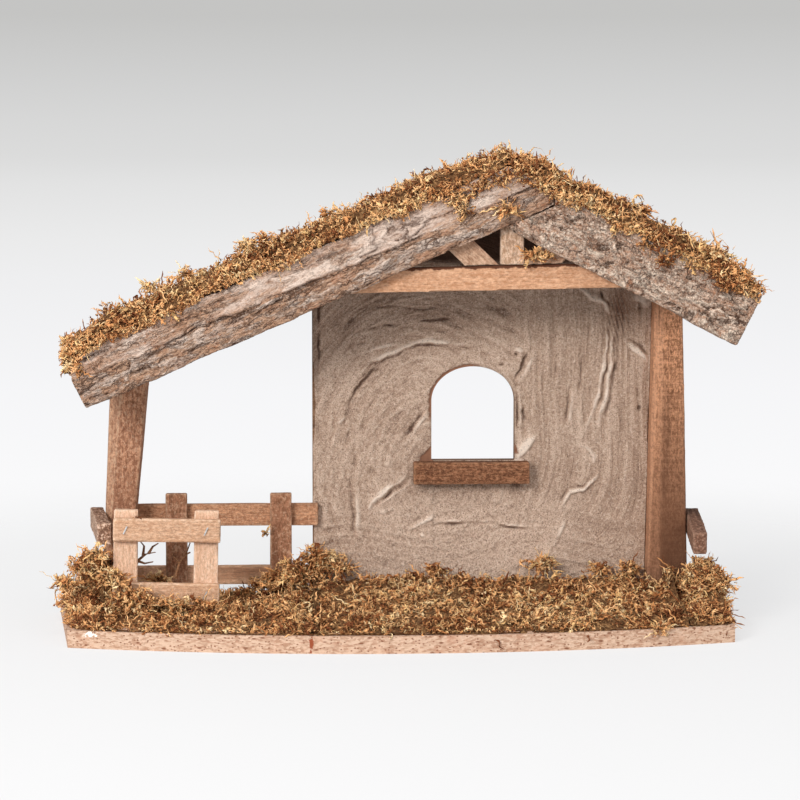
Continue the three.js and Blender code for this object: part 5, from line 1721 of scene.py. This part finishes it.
@dataclass
class MossPatch:
    """A bed of dried moss: a dark matted ground with sprigs standing out of it."""

    node: str
    count: int
    facing: Callable[[Array, Array], Array]
    clumps: tuple[Clump, ...] = ()
    fringe: Points = ()
    sink: float = 5.5 * MM
    cell: float = 2.4 * MM
    lump: float = 3.8 * MM
    left_end: float = -1.0
    lumps_seed: int = 140
    dips: tuple[tuple[float, ...], ...] = ()
    mat_share: float = 0.69
    mat_pile: float = 1.5 * MM
    sprig_share: float = 0.93
    sprig_pile: float = 7.5 * MM
    board_top: float = 12.5 * MM
    depth: tuple[float, float] = (-99 * MM, 100 * MM)

    def build(self, models: list[Shape], seed: int) -> None:
        """Builds the ground, a low mat of sprigs, taller sprigs on it and loose tufts as four pieces.

        Args:
            models: The sprigs.
            seed: The seed of this patch.
        """
        ground = remeshed(self.node, "_ground", self.cell)
        points, normals = points_of(ground), normals_of(ground)
        field = Field(self.lumps_seed)
        shown = self.facing(points, normals)
        lumps = self.lump * (field.rough(points * 85, 3, 0.6) + 0.9 * field.rough(points * 36 + 7, 2))
        points += normals * (shown * (lumps - self.sink))[:, None]
        points[:, 0] = np.maximum(points[:, 0], self.left_end - MM)
        for x, y, wide, deep, fall in self.dips:
            near = ((points[:, 0] / MM - x) / wide) ** 2 + ((points[:, 1] / MM - y) / deep) ** 2
            lowered = points[:, 2] - fall * MM * np.exp(-near) * ease(14 * MM, 24 * MM, points[:, 2])
            points[:, 2] = np.maximum(lowered, np.minimum(points[:, 2], self.board_top))
        move_points(ground, points)
        smooth(ground, 80)
        MossBed().dress(ground)
        settle(ground, "moss", self.node)
        rng = np.random.default_rng(seed)
        low = self.cover(ground, rng, seed, 0.1, self.mat_pile, self.mat_share)
        high = self.cover(ground, rng, seed, 0.16, self.sprig_pile, self.sprig_share)
        tufts = [self.clump(place, rng) for place in self.clumps]
        tufts += [self.edge(a, b, rng, seed) for a, b in zip(self.fringe, self.fringe[1:])]
        columns = zip(*((tuft.root, tuft.out, tuft.size) for tuft in tufts))
        loose = Stand(*(np.concatenate(column) for column in columns))
        # the low mat is tinted darker as painted shade under the taller sprigs
        self.join(self.node + "_mat", models[:Sprigs.bare], low, self.tints(low.root, rng, seed) - 0.42, rng)
        self.join(self.node + "_sprigs", models, high, self.tints(high.root, rng, seed), rng)
        self.join(self.node + "_tufts", models, loose, self.tints(loose.root, rng, seed), rng)

    def cover(self, ground: Piece, rng: np.random.Generator, seed: int, upright: float, pile: float,
              share: float) -> Stand:
        """Scatters sprigs over the faces of the ground that show, thick in some places and thin in others.

        Args:
            ground: The matted ground.
            rng: The source of chance.
            seed: The seed of the thick places.
            upright: How much the sprigs stand up instead of lying down.
            pile: How high they pile up in the thick places.
            share: The share of the patch's number of sprigs that are made.

        Returns:
            Where they stand.
        """
        mesh, count = ground.data, int(self.count * share)
        mesh.calc_loop_triangles()
        corners = np.array([t.vertices for t in mesh.loop_triangles])
        places = points_of(ground)
        a, b, c = (places[corners[:, k]] for k in range(3))
        cross = np.cross(b - a, c - a)
        area = np.linalg.norm(cross, axis=1) / 2
        normal = cross / np.maximum(2 * area, 1e-12)[:, None]
        weight = area * (self.facing((a + b + c) / 3, normal) > 0.5)
        clumps = Field(seed + 2).rough((a + b + c) / 3 * 120, 3)
        weight = weight * np.clip(0.65 + 2.0 * clumps, 0.08, 3) * (1 + 0.9 * (normal[:, 1] < -0.25))
        chosen = rng.choice(len(area), count, p=weight / weight.sum())
        inward = rng.random((count, 2))
        inward[inward.sum(axis=1) > 1] = 1 - inward[inward.sum(axis=1) > 1]
        root = a[chosen] + inward[:, :1] * (b - a)[chosen] + inward[:, 1:] * (c - a)[chosen]
        root += normal[chosen] * ((0.15 + np.clip(clumps[chosen], 0, 1)) * rng.random(count) * pile)[:, None]
        sway = rng.normal(size=(count, 3)) * 0.6
        sway -= 0.5 * np.sum(sway * normal[chosen], axis=1)[:, None] * normal[chosen]
        out = normal[chosen] * upright + sway
        return Stand(root, out, self.sizes(count, rng))

    def sizes(self, count: int, rng: np.random.Generator) -> Array:
        """Draws the sprigs' scales: many small ones and a few large ones."""
        return np.clip(0.6 + rng.exponential(0.3, count), 0.6, 2.0)

    def clump(self, place: Clump, rng: np.random.Generator) -> Stand:
        """Piles sprigs up round a point.

        Args:
            place: The point in millimetres, the clump's radius in millimetres and the number of sprigs.
            rng: The source of chance.

        Returns:
            Where they stand.
        """
        x, y, z, radius, count = place
        count = max(3, int(count * Moss.thinning()))
        way = rng.normal(size=(count, 3)) * (1, 0.6, 0.55)
        root = np.array([x, y, z]) * MM + way * radius * 0.4 * MM
        return Stand(root, way + rng.normal(size=(count, 3)) * 0.8, self.sizes(count, rng))

    def edge(self, start: Point, end: Point, rng: np.random.Generator, seed: int) -> Stand:
        """Lets sprigs hang over the bark's upper edge in tongues of uneven length.

        Args:
            start: One end of the moss's lower line in millimetres, as X, Z and how far moss lies above it.
            end: The line's other end.
            rng: The source of chance.
            seed: The seed of the tongues.

        Returns:
            Where they stand.
        """
        (x0, z0, rise0), (x1, z1, rise1) = start, end
        count = int(math.dist((x0, z0), (x1, z1)) * (3.2 + 0.5 * (rise0 + rise1) / 2) * Moss.thinning())
        share = rng.random(count)
        x, z = x0 + (x1 - x0) * share, z0 + (z1 - z0) * share
        tongue = 7 * Field(seed + 4).rough(rows(x * 0.06, 0, 0), 3, 0.6)
        rise = (rise0 + (rise1 - rise0) * share) * rng.random(count) + 1.5
        root = rows(x, rng.uniform(-25.5, -21, count), z + rise - np.clip(tongue, -2, 6)) * MM
        out = rng.normal(size=(count, 3)) * 0.6 + (0, -0.3, 0)
        return Stand(root, out, self.sizes(count, rng) * 0.75)

    def tints(self, root: Array, rng: np.random.Generator, seed: int) -> Array:
        """Gives each sprig its colour: patches of one tint, with stray ones among them."""
        field = Field(seed + 3)
        patch = 0.6 * field.rough(root * 45, 2) + 0.6 * field.rough(root * 150, 2)
        return np.clip(0.5 + 0.75 * patch + rng.normal(0, 0.24, len(root)), 0, 1)

    def join(self, name: str, models: list[Shape], stand: Stand, tint: Array,
             rng: np.random.Generator) -> None:
        """Copies the sprigs to their places and joins them into one piece.

        Args:
            name: The piece's name.
            models: The sprigs.
            stand: Where they stand.
            tint: Each one's colour.
            rng: The source of chance.
        """
        out = stand.out / np.linalg.norm(stand.out, axis=1)[:, None]
        side = np.cross(out, rng.normal(size=out.shape))
        side = side / np.linalg.norm(side, axis=1)[:, None]
        frames = np.stack([side, np.cross(out, side), out], 1) * stand.size[:, None, None]
        kind = rng.integers(0, len(models), len(tint))
        points, faces, tints, tips, first = [], [], [], [], 0
        for number, (shape, triangles) in enumerate(models):
            mine = np.flatnonzero(kind == number)
            placed = np.einsum("vk,nkj->nvj", shape, frames[mine]) + stand.root[mine][:, None, :]
            placed[:, :, 1] = np.clip(placed[:, :, 1], *self.depth)
            placed[:, :, 2] = np.maximum(placed[:, :, 2], MM)
            placed[:, :, 0] = np.maximum(placed[:, :, 0], self.left_end - 4 * MM)
            points.append(placed.reshape(-1, 3))
            offset = first + np.arange(len(mine))[:, None, None] * len(shape)
            faces.append((triangles[None] + offset).reshape(-1, 3))
            tints.append(np.repeat(tint[mine], len(shape)))
            rise = np.clip(np.linalg.norm(shape, axis=1) / (5 * MM), 0, 1)
            tips.append(np.tile(rise, len(mine)))
            first += placed.shape[0] * placed.shape[1]
        obj = mesh_from(name, np.concatenate(points), np.concatenate(faces))
        set_attributes(obj, tint=np.concatenate(tints), tip=np.concatenate(tips))
        activate(obj)
        bpy.ops.object.shade_smooth()
        DryMoss().dress(obj)
        settle(obj, "moss")


@dataclass
class Moss:
    """All the moss: two roof slopes and four beds on the base."""

    left_fringe: Points = (
        (-226, 196, 8), (-206, 205.5, 5), (-163, 224, 4), (-129, 240, 4), (-82, 258, 5), (-60, 270, 5),
        (-15, 289, 6), (30, 305, 8), (60, 311, 12), (84, 315, 14),
    )
    right_fringe: Points = (
        (84, 315, 14), (107, 306, 9), (134, 294, 7), (168, 278, 6), (202, 258, 9), (226, 243, 11),
        (250, 238, 5),
    )
    left_drips: tuple[Clump, ...] = (
        (38, -24, 305, 8, 70), (44, -25, 298, 6, 50), (72, -25, 299, 6, 60), (79, -24, 298, 5, 30),
        (-228, -22, 208, 6, 110), (-229, -20, 201, 5, 100), (-226, -21, 193.5, 4, 70),
        (-222, -23, 188, 3, 30), (-219, -23, 202, 4, 50), (-230, -12, 207, 6, 80), (-229, -10, 198, 5, 60),
        (-174, -8, 245, 6, 70), (-150, -8, 253.5, 6, 70), (-107, -8, 273, 7, 130), (-94, -8, 278, 6, 80),
        (-50, -8, 296, 5, 50),
    )
    right_drips: tuple[Clump, ...] = (
        (219, -22, 268, 8, 110), (226, -23, 258, 8, 120), (232, -23, 249, 7, 100), (238, -20, 254, 7, 70),
        (173, -22, 275, 7, 70), (185, -23, 263, 7, 90), (152, -22, 286, 6, 50), (226, -24, 246, 6, 50),
        (92, -14, 267, 7, 100), (101, -14, 266, 6, 60), (84, 15, 333, 6, 60), (92.5, 15, 332, 7, 110),
        (100.5, 15, 329, 7, 110), (106, 15, 325.5, 6, 70), (158, 15, 303, 5, 50), (165, 15, 300, 6, 80),
        (172.5, 15, 297, 6, 80),
    )
    pen_clumps: tuple[Clump, ...] = (
        (-60, 57, 45, 9, 200), (-74, 52, 38, 9, 170), (-86, 50, 32, 9, 170), (-98, 50, 26, 9, 170),
        (-111, 50, 20, 8, 130), (-124, 48, 18, 7, 80), (-66, 60, 26, 9, 170), (-80, 60, 20, 8, 130),
        (-82, 50, 26, 10, 170), (-68, 54, 31, 10, 190), (-58, 60, 36, 10, 150), (-174, 38, 31, 8, 120),
        (-205, -15, 44, 8, 150), (-197, -16, 39, 8, 140), (-188, -17, 31, 7, 120), (-176, -16, 27, 6, 80),
        (-164, -16, 25, 5, 60), (-95, 57, 62, 3, 12), (-186, -3, 81, 3, 10), (-153, -17, 23.5, 6, 80),
        (-141, -17, 22.5, 6, 80), (-130, -17, 22, 6, 70), (-199, -16, 28, 6, 90), (-190, -17, 24, 6, 70),
        (-180, -17, 22, 5, 60),
    )
    yard_clumps: tuple[Clump, ...] = (
        (30, 58, 33, 8, 150), (109, 60, 38, 9, 190), (150, 60, 33, 8, 130), (172, 56, 35, 8, 130),
        (-52, 60, 43, 9, 170), (-40, 60, 36, 8, 120), (176, -68.5, 12.5, 5, 80),
    )
    left_clumps: tuple[Clump, ...] = (
        (-235, -10, 38, 9, 150), (-225, -8, 49, 8, 150), (-214, -6, 57, 8, 140),
    )
    right_clumps: tuple[Clump, ...] = (
        (225, 5, 37, 8, 120), (231, 2, 33, 8, 110),
    )
    yard_dips: tuple[tuple[float, ...], ...] = ((188, 25, 14, 35, 9),)
    right_dips: tuple[tuple[float, ...], ...] = ((201, 23, 13, 38, 22),)
    seams: tuple[float, ...] = (-208.1, -61, 74.0, 197.3)
    seam_width: float = 4

    @staticmethod
    def thinning() -> float:
        """Gives the share of the sprigs that are made, which is all of them."""
        return 1

    def seam(self, points: Array, normals: Array) -> Array:
        """Tells which faces lie where one patch meets the next."""
        gap = np.abs(points[:, :1] / MM - np.array(self.seams)).min(axis=1)
        return (gap < self.seam_width) & (np.abs(normals[:, 0]) > 0.7)

    def on_roof(self, points: Array, normals: Array) -> Array:
        """Gives 1 where roof moss shows, on its top, front, back and eave ends, and more at the left eave."""
        shown = (normals[:, 2] > -0.15) | (np.abs(normals[:, 1]) > 0.6) | (normals[:, 0] < -0.6)
        shown &= ~self.seam(points, normals)
        return shown * np.where(points[:, 0] < -225 * MM, 1.6, 1.0)

    def on_base(self, points: Array, normals: Array) -> Array:
        """Gives 1 where a bed shows: on its top and its outer sides."""
        return ((normals[:, 2] > -0.1) & ~self.seam(points, normals)).astype(float)

    def patches(self) -> list[MossPatch]:
        """Lists the patches."""
        def sprigs(count: int) -> int:
            """Scales a number of sprigs by the thinning."""
            return int(count * self.thinning())

        roof = {"sink": 8.5 * MM, "lump": 5.4 * MM, "lumps_seed": 100}
        return [
            MossPatch("roof_moss_left", sprigs(4700), self.on_roof, self.left_drips, self.left_fringe,
                      left_end=-233 * MM, **roof),
            MossPatch("roof_moss_right", sprigs(3900), self.on_roof, self.right_drips, self.right_fringe,
                      **roof),
            MossPatch("moss_bed_left", sprigs(2000), self.on_base, self.left_clumps),
            MossPatch("moss_bed_pen", sprigs(4200), self.on_base, self.pen_clumps),
            MossPatch("moss_bed_yard", sprigs(5300), self.on_base, self.yard_clumps, dips=self.yard_dips),
            MossPatch("moss_bed_right", sprigs(2100), self.on_base, self.right_clumps, dips=self.right_dips),
        ]

    def build(self) -> None:
        """Builds every patch."""
        models = Sprigs().models()
        for seed, patch in enumerate(self.patches()):
            patch.build(models, 100 + 10 * seed)


# Twigs


@dataclass
class Twigs:
    """The few dark twigs caught in the moss. Each is a stem and its shoots, as points in millimetres."""

    pen: tuple[Points, ...] = (
        ((-190, 16, 40), (-186, 15, 49), (-180, 14, 54), (-173, 13, 55.5)),
        ((-182, 14.3, 53), (-181, 13, 60), (-184, 12, 64)),
        ((-186, 15, 49), (-181, 16, 47), (-175, 17, 48)),
        ((-178, 13.8, 54.5), (-175, 12.5, 59.5), (-171, 12, 62)),
    )
    sprig: tuple[Points, ...] = (
        ((-160, 30, 34), (-157, 29, 45), (-152, 28, 52), (-149, 27.5, 60)),
        ((-157, 29, 45), (-162, 28, 51), (-161, 28, 56)),
        ((-153, 28.2, 51), (-149, 28, 53)),
    )
    roof: tuple[Points, ...] = (
        ((-110, 2, 262), (-106, 0, 272), (-103, -2, 279), (-98, -3, 281)),
        ((-105, -1, 274), (-109, -2, 279)),
    )
    ridge_wisp: tuple[Points, ...] = (
        ((89, -10, 337), (93, -10, 341.5), (98, -11, 340.5), (101, -12, 336), (103.5, -12, 330)),
    )
    eave_wisp: tuple[Points, ...] = (
        ((222, -8, 266), (219.5, -9, 274), (221.5, -9, 279.5), (226, -9, 277), (231, -9, 271)),
        ((222, -9, 279), (226, -10, 281.5)),
    )
    eave: tuple[Points, ...] = (
        ((214, 4, 262), (217, 2, 271), (222, 1, 277), (219, 1, 283)),
        ((218, 2, 272), (212, 3, 276)),
    )

    def shoot(self, path: Sequence[Point], radius: float) -> Piece:
        """Models one shoot by extruding a five-sided face along a path, thinner at each step.

        Args:
            path: The path's points in millimetres.
            radius: The radius at its root, in metres.

        Returns:
            The shoot.
        """
        points = [Vector(point) * MM for point in path]
        way = (points[1] - points[0]).normalized()
        deselect_all()
        bpy.ops.mesh.primitive_circle_add(vertices=5, radius=radius, fill_type="NGON", location=points[0],
                                          rotation=way.to_track_quat("Z", "Y").to_euler())
        obj = bpy.context.active_object
        bpy.ops.object.transform_apply(location=True, rotation=True, scale=True)
        begin_edit()
        for start, end in zip(points, points[1:]):
            for share in (0.5, 1.0):
                centre = start.lerp(end, share)
                bpy.ops.mesh.extrude_region_move(TRANSFORM_OT_translate={"value": (end - start) * 0.5})
                bpy.ops.transform.resize(value=(0.82, 0.82, 0.82), center_override=centre)
        end_edit()
        return obj

    def twig(self, name: str, paths: Sequence[Points], radius: float, finish: Twig) -> None:
        """Joins a stem with its shoots.

        Args:
            name: The twig's name.
            paths: The stem's path and then the shoots' paths.
            radius: The stem's radius at its root.
            finish: Its finish.
        """
        shoots = [self.shoot(path, radius * (1 if number == 0 else 0.6)) for number, path in enumerate(paths)]
        activate(shoots[0])
        for shoot in shoots[1:]:
            shoot.select_set(True)
        bpy.ops.object.join()
        shoots[0].name = name
        smooth(shoots[0], 60)
        finish.dress(shoots[0])
        settle(shoots[0], "moss")

    def build(self) -> None:
        """Builds the twigs and two stray wisps of moss."""
        dark = Twig()
        straw = Twig("moss_wisp", (0.8, 0.52, 0.26), (0.5, 0.28, 0.12))
        self.twig("twig_in_pen", self.pen, 1.9 * MM, dark)
        self.twig("twig_by_rear_fence", self.sprig, 1.4 * MM, dark)
        self.twig("twig_on_roof", self.roof, 0.8 * MM, dark)
        self.twig("twig_at_eave", self.eave, 0.7 * MM, dark)
        self.twig("wisp_on_ridge", self.ridge_wisp, 0.6 * MM, straw)
        self.twig("wisp_at_eave", self.eave_wisp, 0.6 * MM, straw)


# Carried-over CAD nodes


@dataclass
class CarriedOver:
    """The CAD nodes that stay: base board, wall board, roof boards and all fasteners."""

    boards: tuple[str, ...] = ("wall_panel", "roof_board_left", "roof_board_right")
    fasteners: tuple[str, ...] = ("staple", "screw", "nail", "brad")

    def build(self) -> None:
        """Gives each node its finish."""
        board, steel = RawBoard(), BrightSteel()
        Chipboard().dress(bpy.data.objects["base_board"])
        for node in self.boards:
            board.dress(bpy.data.objects[node])
        for obj in bpy.data.objects:
            if obj.get("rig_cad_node") and any(word in obj.name for word in self.fasteners):
                steel.dress(obj)


# Studio


@dataclass
class Studio:
    """The camera at the photograph's place, soft light, a pale floor and a white backdrop."""

    place: Point = (-0.07792, -1.75146, 0.32238)
    yaw: float = 2.553
    pitch: float = 5.146
    lens: float = 112.5
    floor_radius: float = 2.2

    def camera(self) -> None:
        """Makes the camera."""
        data = bpy.data.cameras.new("camera")
        data.lens = self.lens
        data.sensor_width = 36
        data.clip_start, data.clip_end = 0.05, 50
        obj = bpy.data.objects.new("camera", data)
        obj.location = self.place
        obj.rotation_euler = (math.radians(90 - self.pitch), 0, math.radians(-self.yaw))
        bpy.context.scene.collection.objects.link(obj)
        bpy.context.scene.camera = obj

    def lamp(self, name: str, place: Sequence[float], size: float, power: float, colour: Colour) -> None:
        """Adds a square soft lamp that points at the stable.

        Args:
            name: Its name.
            place: Its place.
            size: The length of its sides.
            power: Its power in watts.
            colour: Its colour.
        """
        data = bpy.data.lights.new(name, "AREA")
        data.size, data.energy, data.color = size, power, colour
        obj = bpy.data.objects.new(name, data)
        obj.location = place
        aim = Vector((0, 0, 0.15)) - Vector(place)
        obj.rotation_euler = aim.to_track_quat("-Z", "Y").to_euler()
        bpy.context.scene.collection.objects.link(obj)

    def world(self) -> None:
        """Makes the world: white fill light, and a grey to white sweep that only the camera sees."""
        world = bpy.data.worlds.new("studio")
        world.use_nodes = True
        bpy.context.scene.world = world
        tree = Tree(world.node_tree)
        height = tree.add("SeparateXYZ", Vector=tree.add("TexCoord").outputs["Generated"]).outputs[2]
        share = tree.span(height, -0.14, 0.08)
        share.node.interpolation_type = "LINEAR"
        sweep = tree.ramp(share, [
            (0, (0.965, 0.965, 0.97)), (0.25, (0.92, 0.92, 0.935)), (0.45, (0.86, 0.86, 0.87)),
            (0.52, (0.83, 0.83, 0.832)), (0.62, (0.765, 0.765, 0.765)), (0.67, (0.712, 0.712, 0.71)),
            (0.735, (0.68, 0.68, 0.678)), (0.81, (0.63, 0.63, 0.627)), (0.92, (0.557, 0.555, 0.547)),
        ])
        path = tree.add("LightPath")
        seen = tree.math("MAXIMUM", path.outputs["Is Camera Ray"], path.outputs["Is Glossy Ray"])
        seen = tree.math("MAXIMUM", seen, path.outputs["Is Transmission Ray"])
        fill = tree.add("Background", Color=(1.0, 0.99, 0.98), Strength=0.56)
        shown = tree.add("Background", Color=sweep, Strength=1.0)
        tree.join("OutputWorld", {}, tree.mix_shaders(seen, fill, shown).outputs[0])

    def floor(self) -> None:
        """Makes the pale floor, which fades into the sweep away from the stable."""
        deselect_all()
        bpy.ops.mesh.primitive_circle_add(vertices=96, radius=self.floor_radius, fill_type="NGON")
        obj = bpy.context.active_object
        obj.name = "floor"
        made = bpy.data.materials.new("pale_floor")
        made.use_nodes = True
        tree = Tree(made.node_tree)
        fade = tree.span(tree.length(tree.place()), 0.34, 1)
        paper = tree.add("BsdfDiffuse", Color=(0.76, 0.762, 0.77))
        glow = tree.add("Emission", Color=(0.94, 0.943, 0.95), Strength=1.0)
        seen = tree.times(tree.add("LightPath").outputs["Is Camera Ray"], 0.64)
        both = tree.mix_shaders(fade, tree.mix_shaders(seen, paper, glow), tree.add("BsdfTransparent"))
        tree.join("OutputMaterial", {}, both.outputs[0])
        obj.data.materials.append(made)

    def build(self) -> None:
        """Makes the floor, the lamps and the world."""
        self.floor()
        self.lamp("key", (-1.39, -2.23, 1.16), 0.8, 60, (1.0, 0.985, 0.96))
        self.lamp("top", (-0.4, -0.9, 2.2), 1.4, 16, (1.0, 0.99, 0.98))
        self.lamp("fill", (1.6, -1.9, 0.9), 1.6, 10, (0.98, 0.99, 1.0))
        self.world()
        bpy.context.scene.view_settings.view_transform = "Standard"


def main() -> None:
    """Builds the whole scene round the frame."""
    logging.basicConfig(level=logging.INFO, format="%(name)s %(message)s")
    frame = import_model()
    log.info("frame with %d nodes", len(frame["nodes"]))
    studio = Studio()
    studio.camera()
    CarriedOver().build()
    BackWall().build()
    Woodwork().build()
    RoofBark().build()
    Moss().build()
    Twigs().build()
    studio.build()


if __name__ == "__main__":
    main()
